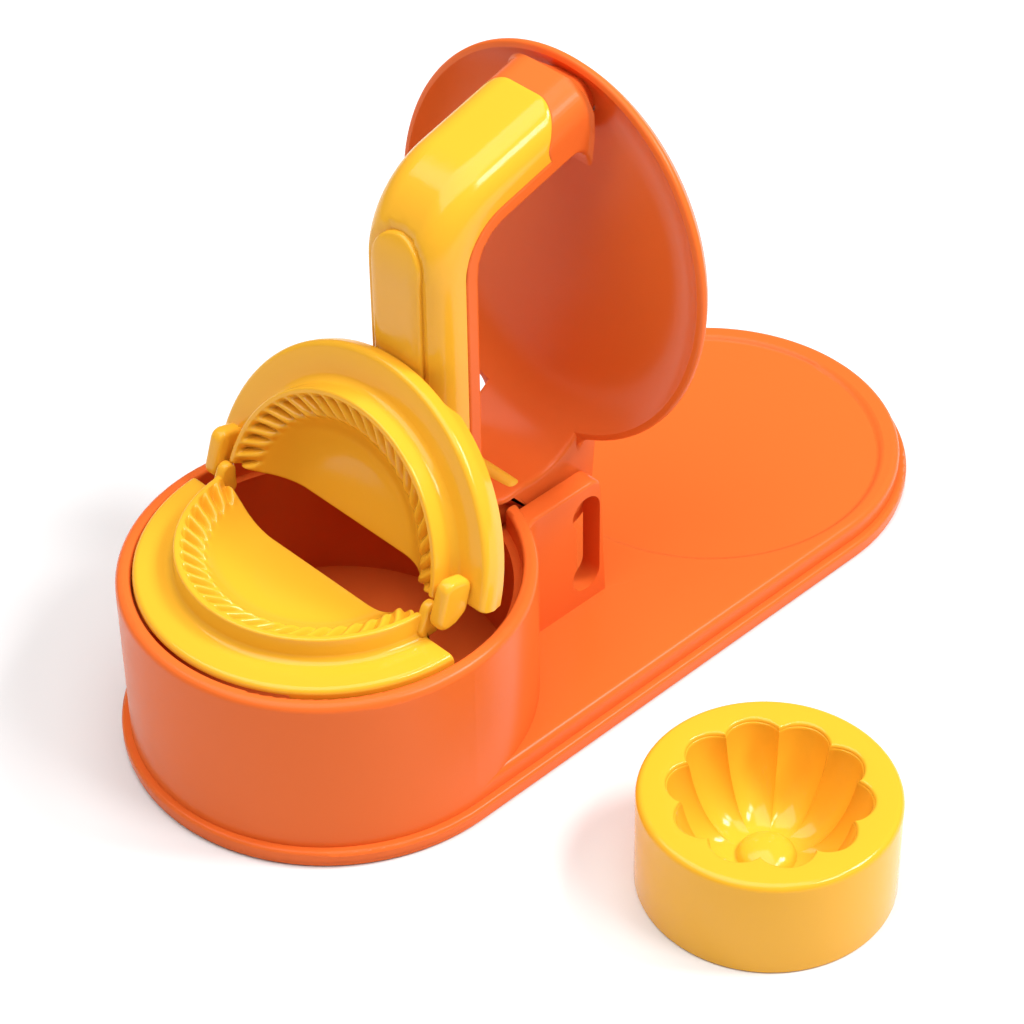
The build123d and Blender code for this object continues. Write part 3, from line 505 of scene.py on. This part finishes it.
# %% Leaf as a shell, and its hinge blocks
def leaf_shell(steps, share_top, share_under):
    """Upper and lower grid of a leaf, with the straight edge rounded on both faces.

    The rounding fades out down the skirt, whose faces stand upright.
    """
    top = leaf_grid([bowl_top, band_top, rim_top, flange_top, skirt_top], steps, True, share_top)
    counts = (len(bowl_top), len(band_top) + len(rim_top), len(flange_top))
    under = [resample(line, count) for line, count in zip((bowl_under, band_under, flange_under), counts)]
    under = leaf_grid(under + [skirt_under], steps, False, share_under)
    grids = []
    for (x, s, h), sign in ((top, -1), (under, 1)):
        gap = np.clip(corner_r - (s - leaf_edge), 0, corner_r)
        h = h + sign * (corner_r - np.sqrt(corner_r**2 - gap**2)) * smoothstep(h, -15.0, -10.5)
        grids.append(np.stack([x, s, h], axis=-1))
    return wall(*grids)


def pebble(x_low, x_high, centres, r, edge):
    """Flat pebble: an outline in the (s, h) plane with round corners, carried along x.

    The outline is a circle of radius r rolled round the convex ring of centres.
    It shrinks by edge (1 - sin b) as the sides turn over into the flat faces.
    """
    centres = np.array(centres, float)
    way = np.roll(centres, -1, axis=0) - centres
    side = np.unwrap(np.arctan2(way[:, 1], way[:, 0])) - np.pi / 2
    before = np.roll(side, 1)
    before[0] -= 2 * np.pi
    fan = np.linspace(0, 1, 13)                       # points round each corner
    turn = before[:, None] + fan * (side - before)[:, None]
    turn = np.append(turn.ravel(), turn[0, 0])
    centre = np.concatenate([np.repeat(centres, len(fan), axis=0), centres[:1]])
    b = np.linspace(0, np.pi / 2, 6)
    shrink = np.concatenate([[r], edge * (1 - np.sin(b)), edge * (1 - np.sin(b[::-1])), [r]])
    turn_in = edge * (1 - np.cos(b))
    x = np.concatenate([[x_low], x_low + turn_in, x_high - turn_in[::-1], [x_high]])
    away = np.stack([np.cos(turn), np.sin(turn)], axis=-1)
    flat = centre[None] + (r - shrink)[:, None, None] * away[None]
    flat[[0, -1]] = centres.mean(axis=0)
    points = np.concatenate([np.broadcast_to(x[:, None, None], flat.shape[:2] + (1,)), flat], axis=-1)
    return points.reshape(-1, 3), grid_quads(*points.shape[:2])


def place_leaf(points, rear):
    """From the leaf's own frame (x, away from the hinge, up) to the object's frame."""
    x, s, h = points.T
    if not rear:
        return hinge + np.stack([x, -s, h], axis=1)
    c, n = np.cos(leaf_tilt), np.sin(leaf_tilt)
    return hinge + np.stack([x, s * c - h * n, s * n + h * c], axis=1)


print("leaf functions ready")

# %% [markdown]
# The front leaf lies flat in the tub. Its skirt is left out at the front, where
# a finger lifts the leaf. Beside the rim, at both ends of the hinge line, it
# has a small knuckle that takes the hinge pin.

# %% Front leaf
def front_share(angle, kept):
    """Share of the skirt: all of it at the sides, only kept of it in the front opening."""
    off = np.abs(angle - np.pi / 2)
    return kept + (1 - kept) * smoothstep(off, np.radians(37.0), np.radians(38.4))


shell = leaf_shell(380, lambda a: front_share(a, 0.02), lambda a: front_share(a, 0.01))
knuckle = [(0, 0), (-0.1, -5.6), (2.6, -5.6)]
knuckles = [pebble(*sorted((k * 40.9, k * 44.4)), knuckle, 2.65, 1.1) for k in (-1, 1)]
points, quads = join(shell, *knuckles)
make_piece(
    "front_leaf_moulded", place_leaf(points, False), quads, "mould_front", "yellow_plastic", ["front_leaf"]
)

# %% [markdown]
# The rear leaf leans back to the handle, and its skirt has a notch where the
# handle stands. It carries two flat pebble-shaped arms, outside the front
# leaf's knuckles, that hold the hinge pins.

# %% Rear leaf
def rear_share(angle, kept):
    """Share of the skirt: only kept of it in the notch where the handle stands."""
    off = np.abs(angle - np.pi / 2)
    return kept + (1 - kept) * smoothstep(off, np.radians(22.3), np.radians(28.0))


shell = leaf_shell(380, lambda a: rear_share(a, 0.42), lambda a: rear_share(a, 0.42))
arm = [(-0.6, -0.8), (0.2, -2.6), (2.4, -4.5), (8.2, -4.3), (8.0, -0.8)]
arms = [pebble(*sorted((k * 44.6, k * 49.6)), arm, 3.3, 1.6) for k in (-1, 1)]
points, quads = join(shell, *arms)
make_piece(
    "rear_leaf_moulded", place_leaf(points, True), quads, "mould_rear", "yellow_plastic", ["rear_leaf"]
)

# %% [markdown]
# ## The flower mould
# A round yellow block stands by the press, with a fluted cup in its top that
# shapes dough like a flower. Ten round flutes run down to a low dome. A cutter
# would plunge the same tool ten times; here the cup is one formula in polar
# form, so the flutes, the cusps between them and the soft lip are all part of
# one closed surface with the outside.

# %% Flower mould
cup_at = np.array([133.3, -39.8, -0.6])
cup_r, cup_h, cup_floor = 36.8, 33.2, 8.0
ridge_r, hollow_r = (9.0, 24.6), (10.4, 28.6)     # at the bottom and at the top
dome_r, dome_h = 8.4, 4.3
lip_round = 1.1


def flower_grid(around=400):
    """Outside, lip, flutes and dome in turn, each row a ring of points round the axis.

    In the cup a ring's radius is ridge + (hollow - ridge) |cos 5a|^0.75: ten
    round hollows with a ridge between each two.
    """
    a = np.linspace(0, 2 * np.pi, around + 1)
    outside = round_path(
        [(0, 0), (cup_r, 0), (cup_r, cup_h), (31.0, cup_h)], [0.8, 2.2], steps=8
    )
    wave = np.abs(np.cos(5 * a)) ** 0.75
    rings_r = [np.repeat(r, around + 1) for r in outside[:, 0]]
    rings_z = [np.repeat(z, around + 1) for z in outside[:, 1]]
    u = np.linspace(0, 1, 56)
    bend = u * np.pi / 2
    fall = 0.62 * np.cos(bend) + 0.38 * (1 - u)       # part quarter circle, part cone
    ridge = ridge_r[0] + (ridge_r[1] - ridge_r[0]) * fall
    hollow = hollow_r[0] + (hollow_r[1] - hollow_r[0]) * fall
    depth = np.minimum(cup_h - (cup_h - cup_floor) * np.sin(bend) ** 1.05, cup_h - lip_round)
    flutes = ridge[:, None] + (hollow - ridge)[:, None] * wave
    for t in np.linspace(0, np.pi / 2, 6)[:-1]:       # the lip turns over into the cup
        rings_r.append(flutes[0] + lip_round * (1 - np.sin(t)))
        rings_z.append(np.full(around + 1, cup_h - lip_round * (1 - np.cos(t))))
    rings_r.extend(flutes)
    rings_z.extend(np.repeat(depth[:, None], around + 1, axis=1))
    for t in np.linspace(1, 0, 14):                   # the dome
        rings_r.append(np.full(around + 1, dome_r * t))
        rings_z.append(np.full(around + 1, cup_floor + dome_h * np.sqrt(1 - t**2.2)))
    r, z = np.array(rings_r), np.array(rings_z)
    return np.stack([r * np.cos(a), r * np.sin(a), z], axis=-1) + cup_at


points = flower_grid()
make_piece(
    "flower_mould_fluted", points.reshape(-1, 3), grid_quads(*points.shape[:2]), "flower", "yellow_plastic",
    ["flower_mold"], smooth=0.9,
)

# %% [markdown]
# ## The lid
# The lid is a shallow round dish on a broad neck. In the middle the dish's
# flare simply goes on, round a wider arc, until it lies level and becomes the
# top of the neck, like the lip of a jug. A turned dish and a neck drawn in
# rows make it, both closed, and they overlap inside the wall.

# %% Lid: frame and dish
lean = np.radians(6.88)
axle = np.array([-2.4, 45.7])             # its y and z
lid_up = np.array([np.sin(lean), np.cos(lean)])
lid_out = np.array([-np.cos(lean), np.sin(lean)])
disc = axle + 79.0 * lid_up - 1.0 * lid_out           # middle of the rim
disc_r, lip_r, flat_r = 60.0, 57.5, 40.5
dish_floor, dish_back = -6.2, -8.7
neck_top, neck_low, neck_front = 60.0, 50.7, -51.9
neck_half, front_half = 18.8, 16.5        # half widths of the neck and of its front end
hub_r = 9.8
flare = bowl_arc(flat_r, dish_floor, lip_r, 0.0, 22)


def on_lid(x, v, n):
    """From the rim's plane (x, up the dish, out of it on the handle's side) to the object's frame."""
    y = disc[0] + v * lid_up[0] + n * lid_out[0]
    z = disc[1] + v * lid_up[1] + n * lid_out[1]
    return np.stack(np.broadcast_arrays(x, y, z), axis=-1)


def dish_shell(around=288):
    """Turned dish: floor, flare, lip and back, as rings round the normal of the rim's plane."""
    lip = round_path([flare[-1], (57.9, 0.3), (disc_r, 0.1), (disc_r, -1.6), (59.1, -2.7)], [0.3, 1.1, 0.7])
    back = bowl_arc(48.0, dish_back, 59.1, -2.7, 14)[-2::-1]
    floor, under = [(0, dish_floor), (20, dish_floor)], [(20, dish_back), (0, dish_back)]
    line = np.concatenate([floor, flare, lip[1:], back, under])
    a = np.linspace(0, 2 * np.pi, around + 1)
    points = on_lid(line[:, :1] * np.sin(a), line[:, :1] * np.cos(a), line[:, 1:] + 0 * a)
    return points.reshape(-1, 3), grid_quads(*points.shape[:2])


print("dish stands at", disc.round(1), "and leans by", round(float(np.degrees(lean)), 2), "degrees")

# %% [markdown]
# The neck's rows start inside the dish, follow its flare over the lip, bend
# round the arc and run level to the front end. Two webs fill the hollow
# corners between the rim and the sides of the neck.

# %% Lid: neck
def neck_shell(edge=1.7):
    """Neck and hub between two grids, the upper one from inside the dish to the front end.

    At x the dish's flare meets the lip at |v| = sqrt(lip_r^2 - x^2), with the slope
    s = atan(tan(s0) |v| / lip_r). From there an arc of radius (V - |v|) / (1 - sin s)
    turns it level at |v| = V, which is the height of the neck's top.
    """
    b = np.linspace(0, np.pi / 2, 7)
    middle = np.linspace(edge - neck_half, neck_half - edge, 41)
    side = neck_half - edge + edge * np.sin(b[1:])
    x = np.concatenate([-side[::-1], middle, side])
    drop = edge * (1 - np.cos(b[1:]))
    drop = np.concatenate([drop[::-1], 0 * middle, drop])
    reach = np.sqrt(lip_r**2 - x**2)
    lift = np.arcsin((lip_r - flat_r) * -2 * dish_floor / (dish_floor**2 + (lip_r - flat_r) ** 2))
    slope = np.arctan(np.tan(lift) * reach / lip_r)
    level_v = (disc[1] - neck_top) / np.cos(lean)
    rows = []
    for r in (50.0, 53.0, 56.0):                      # still in the dish's flare
        n = np.interp(r, flare[:, 0], flare[:, 1]) - drop - 0.04 * (56.0 - r)
        rows.append(on_lid(x, -np.sqrt(r**2 - x**2), n))
    for t in np.linspace(0, 1, 24):                   # the arc
        a = slope + t * (np.pi / 2 - slope)
        radius = (level_v - reach) / (1 - np.sin(slope))
        v = reach + radius * (np.sin(a) - np.sin(slope)) + drop * np.sin(a)
        n = radius * (np.cos(slope) - np.cos(a)) - drop * np.cos(a) + 0.02
        rows.append(on_lid(x, -v, n))
    start = rows[-1]
    for t in np.linspace(0, 1, 24)[1:]:               # the level top
        y = start[:, 1] + t * (neck_front - start[:, 1])
        half = front_half + (neck_half - front_half) * smoothstep(y, -34.0, -26.5)
        z = neck_top - drop - (1 - t) * (neck_top - drop - start[:, 2])
        rows.append(np.stack([x * half / neck_half, y, z], axis=-1))
    end = rows[-1]
    for a in b[2::2]:                                 # its rounded front end
        rows.append(end + np.array([0, -edge * np.sin(a), -edge * (1 - np.cos(a))]))
    top = np.array(rows)
    a = np.linspace(0.25, np.pi, 17)
    hub = axle + hub_r * np.stack([np.cos(a), -np.sin(a)], axis=1)
    deep = on_lid(0.0, -48.0, -7.45)[1:]              # inside the dish's wall
    low = np.concatenate([[deep], hub, [(-14.0, neck_low), (neck_front - edge, neck_low)]])
    low = resample(low, len(top))
    under = np.stack(np.broadcast_arrays(top[:, :, 0], low[:, :1], low[:, 1:]), axis=-1)
    return wall(top, under)


def corner_web(side, r=7.0):
    """Web that carries the rim round a hollow corner of radius r into the neck's side.

    Its corner arc touches the rim's circle and the line x = neck_half: its centre is
    r beyond the line and disc_r + r from the middle.
    """
    cx = neck_half + r
    cv = -np.sqrt((disc_r + r) ** 2 - cx**2)
    low, high = np.arctan2(-cv, -cx), np.pi
    a = np.linspace(low, high, 25)
    out = np.stack([cx + r * np.cos(a), cv + r * np.sin(a)], axis=1)
    turn = np.linspace(np.arctan2(out[0, 0], -out[0, 1]), np.arcsin((neck_half - 1) / disc_r), 25)
    inner = (disc_r - 2.2) * np.stack([np.sin(turn), -np.cos(turn)], axis=1)
    # the web's section: shares of the way out, and heights over the rim's plane
    t = np.array([0.0, 0.72, 0.9, 1.0, 1.0, 0.9, 0.0, 0.0])
    n = np.array([0.1, 0.1, -0.15, -0.7, -1.7, -2.5, -3.4, 0.1])
    flat = inner[:, None] + t[None, :, None] * (out - inner)[:, None]
    points = on_lid(side * flat[..., 0], flat[..., 1], n[None, :] + 0 * flat[..., 0])
    rows, cols, _ = points.shape
    ring = np.arange(cols)
    caps = np.stack([ring[1:-2], ring[2:-1], 0 * ring[2:-1], 0 * ring[2:-1]], axis=-1)
    return points.reshape(-1, 3), np.concatenate([grid_quads(rows, cols), caps, caps + (rows - 1) * cols])


points, quads = join(dish_shell(), neck_shell(), corner_web(-1), corner_web(1))
make_piece("press_lid_moulded", points, quads, "lid", "orange_plastic", ["press_lid"], smooth=0.6)

# %% [markdown]
# ## The handle
# The handle is one section carried along a bent line: up from the neck, round
# the bend and down a slope to the dish. Its front is a yellow cover with very
# round corners and its back an orange strip, and past the cover's arched end
# the orange takes over the whole section.

# %% Handle: line and section
grip_w, grip_t = 31.4, 17.6               # width and thickness of the section
grip_y = -42.36                           # where the upright part stands
knee = 159.8                              # height at which the line's two straights would meet
rise = np.radians(16.0)                   # the sloping part, from level
bend_r = 23.0
round_r, tip_r = 9.8, 10.5                # rounding of the front, and of the cover's end
edge_r = 0.35                             # rounding of the edges along the seam
seam = 4.05                               # seam, towards the back from the middle of the section
cover_y = 1.7                             # where the cover ends
turn = np.pi / 2 - rise
bend_cut = bend_r * np.tan(turn / 2)
bend_low = knee - bend_cut
bend_len = bend_r * turn
up_len = bend_low - neck_top
cover_len = up_len + bend_len - bend_cut + (cover_y - grip_y) / np.cos(rise)


def line_at(s):
    """Point (y, z) of the middle line at length s from the neck's top, and its turn there."""
    a = np.clip((s - up_len) / bend_r, 0, turn)
    past = np.clip(s - up_len - bend_len, 0, None)
    y = grip_y + bend_r * (1 - np.cos(a)) + past * np.cos(rise)
    z = neck_top + np.minimum(s, up_len) + bend_r * np.sin(a) + past * np.sin(rise)
    return y, z, a


def on_grip(x, back, s):
    """From section coordinates (x, towards the back) at length s to the object's frame."""
    y, z, a = line_at(s)
    return np.stack(np.broadcast_arrays(x, y + back * np.cos(a), z - back * np.sin(a)), axis=-1)


def closed_round(corners, radii, steps=10):
    """Closed polygon with rounded corners, starting and ending in the middle of its last side."""
    corners = [np.array(c, float) for c in corners]
    start = (corners[-1] + corners[0]) / 2
    return round_path([start, *corners, start], radii, steps)


def front_depth(x):
    """How far the front of the section lies behind its foremost line: an arc of radius round_r."""
    over = np.clip(np.abs(x) - (grip_w / 2 - round_r), 0, round_r)
    return round_r - np.sqrt(round_r**2 - over**2)


def front_face(x, z, sink=0.0):
    """Point of the handle's front at x and height z, sunk below the surface.

    Above bend_low the front is a tube's outside: y is the bend's centre less
    sqrt(r^2 - h^2), with h the height over bend_low.
    """
    deep = grip_t / 2 - front_depth(x) - sink
    high = np.clip(z - bend_low, 0, None)
    r = bend_r + deep
    curved = grip_y + bend_r - np.sqrt(np.clip(r * r - high * high, 1, None))
    y = np.where(z > bend_low, curved, grip_y - deep)
    return np.stack(np.broadcast_arrays(x, y, z), axis=-1)


def slot_distance(x, z, low, high, width):
    """Signed distance to the edge of an upright slot with round ends: negative inside."""
    r = width / 2
    return np.hypot(x, z - np.clip(z, low + r, high - r)) - r


def tip_back(x):
    """How far the cover's arched end falls back at x: a corner arc of radius tip_r."""
    over = np.clip(np.abs(x) - (grip_w / 2 + 0.1 - tip_r), 0, tip_r)
    return tip_r - np.sqrt(tip_r**2 - over**2)


print("handle: straight up", round(up_len, 1), "mm, bend", round(bend_len, 1), "mm")

# %% [markdown]
# The yellow cover is the section's front from seam to seam. Its pocket takes
# the oval panel and leaves the groove round it.

# %% Handle cover
inlay_low, inlay_high, inlay_w, groove = 99.5, 156.0, 19.0, 1.9
pocket = 1.5                              # depth of the pocket
end_reach = 9.0                           # about how far the section's outline lies from its middle


def cover_shell():
    """Closed section from seam to seam round the front, carried up to the arched end.

    Each line along the cover ends where the arch says. The pocket of the inlay
    is pressed into the front: points inside the slot move towards the middle line.
    """
    w, t, back, steps = grip_w / 2, grip_t / 2, seam - 0.1, 16
    corners = [(w, back), (w, -t), (-w, -t), (-w, back)]
    line = closed_round(corners, [edge_r, round_r, round_r, edge_r], steps)
    flat = np.linspace(w - round_r, round_r - w, 34)[1:-1]
    flat = np.stack([flat, 0 * flat - t], axis=1)
    at = 2 * (steps + 1) + 1                          # first point after the second corner
    line = np.concatenate([line[:at], flat, line[at:]])
    spans = np.linspace(0, 36, 6)[:-1], np.linspace(36, 108, 181), np.linspace(108, 200, 48)[1:]
    share = np.concatenate(spans) / 200               # close stations along the pocket
    end = cover_len - tip_back(line[:, 0])
    s = share[:, None] * end
    points = on_grip(line[:, 0], line[:, 1], s)
    low, high, width = inlay_low - groove, inlay_high + groove, inlay_w + 2 * groove
    inside = -slot_distance(points[..., 0], points[..., 2], low, high, width)
    front = (points[..., 1] < grip_y + 4) * (line[:, 1] < seam - 0.5)
    sink = pocket * smoothstep(inside, 0.0, 0.9) * front
    inward = on_grip(0 * line[:, 0], 0 * line[:, 1], s) - points
    inward /= np.linalg.norm(inward, axis=-1, keepdims=True)
    points = points + inward * sink[..., None]
    first = np.broadcast_to(points[0].mean(axis=0), points[:1].shape)
    rows = [first, points]
    for angle in (np.pi / 4, np.pi / 2):              # the end turns over by a small arc
        shrink = 1 - edge_r * (1 - np.cos(angle)) / end_reach
        rows.append(on_grip(line[:, 0] * shrink, line[:, 1] * shrink, end + edge_r * np.sin(angle))[None])
    rows.append(np.broadcast_to(on_grip(0.0, 0.0, cover_len - 1.0), first.shape))
    points = np.concatenate(rows)
    return points.reshape(-1, 3), grid_quads(*points.shape[:2])


make_piece(
    "handle_cover_moulded", *cover_shell(), "lid", "yellow_plastic", ["handle_cover"], smooth=0.8
)

# %% [markdown]
# The panel in the front of the handle is a long oval that stands a hair proud
# of the cover, with a groove left bare round it.

# %% Handle inlay
def slot_ring(straight=44, half_turn=40):
    """Centres and angles round an upright slot: up the right side, over, down and under."""
    r = inlay_w / 2
    side = np.linspace(inlay_low + r, inlay_high - r, straight)
    arc = np.linspace(0, np.pi, half_turn)
    centre = np.concatenate([side, 0 * arc + inlay_high - r, side[::-1], 0 * arc + inlay_low + r])
    angle = np.concatenate([0 * side, arc, 0 * side + np.pi, arc + np.pi])
    return centre, angle


def inlay_shell(edge=0.7, proud=0.15, deep=1.62):
    """Oval panel as rings, from the middle line underneath to the middle line on top."""
    r = inlay_w / 2
    centre, angle = slot_ring()
    step = np.linspace(0, np.pi / 2, 6)
    shrink = np.concatenate([[r, 0.0], edge * (1 - np.cos(step)), np.linspace(edge, r, 14)[1:]])
    sink = np.concatenate([[deep, deep], edge * (1 - np.sin(step)) - proud, np.full(13, -proud)])
    x = (r - shrink)[:, None] * np.cos(angle)
    z = centre + (r - shrink)[:, None] * np.sin(angle)
    points = front_face(x, z, sink[:, None])
    return points.reshape(-1, 3), grid_quads(*points.shape[:2])


make_piece(
    "handle_inlay_moulded", *inlay_shell(), "lid", "yellow_plastic", ["handle_inlay"], smooth=0.8
)

# %% [markdown]
# The orange part is the back strip of the grip and, past the cover's arch, the
# whole section. It ends in a collar that flares out below, and behind the
# collar a short stem stands on the dish's floor.

# %% Handle core
def to_lid(points):
    """The reverse of on_lid: x, height up the dish and height out of the rim's plane."""
    flat = points[..., 1:] - disc
    return np.stack([points[..., 0], flat @ lid_up, flat @ lid_out], axis=-1)


gap = 0.12                                # between the cover's end and the collar
back_r = 1.2                              # rounding of the handle's back edges
collar_n = 3.4                            # the collar's end over the rim's plane
tilt_v, tilt = 47.0, 0.3                  # from tilt_v up, the end leans out by tilt
flare_under, flare_side = 7.6, 1.2        # radii of the flare below and at the sides
stem_v, draw_v, draw_x = 46.0, 0.42, 0.55     # the stem's middle, and how far it draws in


def core_shell():
    """Back strip as far as the cover's end, then the whole section down into the dish.

    Every line round the section has the same stations. On a front line they
    run along the seam, step up to the surface at the arch, and go on to the dish.
    The flare moves a point that is d short of the end out by R - sqrt(R^2 - (R - d)^2).
    """
    w, t = grip_w / 2, grip_t / 2
    full = closed_round([(-w, t), (-w, -t), (w, -t), (w, t)], [back_r, round_r, round_r, back_r], 14)
    run = np.concatenate([[0], np.cumsum(np.linalg.norm(np.diff(full, axis=0), axis=1))])
    at = np.unique(np.concatenate([run, np.linspace(0, run[-1], 150)]))
    full = np.stack([np.interp(at, run, full[:, k]) for k in (0, 1)], axis=1)
    x, back = full.T
    low_back = np.maximum(back, seam)
    corner = np.clip(edge_r - (low_back - seam), 0, edge_r)
    low_x = np.clip(x, -w + corner, w - corner)
    end = cover_len - tip_back(np.where(back < seam, x, w)) + gap
    rows = [on_grip(0 * x, 0 * x + seam + 2, 0 * x)]
    shares = np.linspace(0, 0.3, 4), np.linspace(0.3, 0.62, 44)[1:], np.linspace(0.62, 1, 8)[1:]
    for share in np.concatenate(shares):
        rows.append(on_grip(low_x, low_back, share * end))
    for angle in np.array([0.0, 0.4, 0.7, 1.0]) * np.pi / 2:
        shrink = 1 - edge_r * (1 - np.sin(angle)) / end_reach * (back < seam)
        rows.append(on_grip(x * shrink, back * shrink, end + edge_r * (1 - np.cos(angle))))
    # down the slope to the collar's end, which leans a little more than the rim
    down = np.array([np.cos(rise), np.sin(rise)])
    _, v_start, n_start = to_lid(on_grip(x, back, end + edge_r)).T
    fall, climb = down @ lid_out, down @ lid_up
    level = (collar_n - n_start) / fall
    tilted = (collar_n + tilt * (v_start - tilt_v) - n_start) / (fall - tilt * climb)
    length = np.minimum(level, tilted)
    under = np.clip(back / t, 0, 1)
    for u in np.linspace(0, 1, 30)[1:]:
        v, n = v_start + u * length * climb, n_start + u * length * fall
        left = (u - 1) * length * fall
        near_v = np.clip(flare_under - left, 0, flare_under)
        near_x = np.clip(flare_side - left, 0, flare_side)
        grow_v = (flare_under - np.sqrt(flare_under**2 - near_v**2)) * under
        grow_x = (flare_side - np.sqrt(flare_side**2 - near_x**2)) * np.clip(2 * x / w, -1, 1)
        rows.append(on_lid(x + grow_x, v - grow_v, n))
    # behind its end the collar draws in to a stem that stands on the dish's floor
    x_end, v_end, n_end = x + grow_x, v - grow_v, n
    for u in np.linspace(0, 1, 16)[1:]:
        draw = np.sin(u * np.pi / 2)
        v_now = v_end + (stem_v - v_end) * draw_v * draw
        n_now = n_end + (dish_floor - 0.25 - n_end) * u
        rows.append(on_lid(x_end * (1 - draw_x * draw), v_now, n_now))
    rows.append(np.broadcast_to(rows[-1].mean(axis=0), rows[-1].shape))
    points = np.array(rows)
    return points.reshape(-1, 3), grid_quads(*points.shape[:2])


make_piece(
    "handle_core_moulded", *core_shell(), "lid", "orange_plastic", ["handle_core"], smooth=0.8
)

# %% [markdown]
# ## The solids that stay
# Where a solid already has its real shape, it only needs its finish: the
# material goes on the solid itself, whose mesh is never touched.

# %% Finishes on the solids that stay
solids = {
    "orange_plastic": ["base_housing", "bottom_cover", "press_plate", "lid_axle"],
    "yellow_soft": ["neck_pad"],
    "foot_rubber": ["foot_1", "foot_2", "foot_3", "foot_4"],
    "screw_steel": ["cover_screws", "handle_screws", "lid_screws"],
    "pin_steel": ["hinge_pin_left", "hinge_pin_right"],
}
for slot, names in solids.items():
    for name in names:
        solid = bpy.data.objects[name]
        solid.data.materials.clear()
        solid.data.materials.append(finishes[slot])
print("dressed:", sum(len(names) for names in solids.values()), "solids")
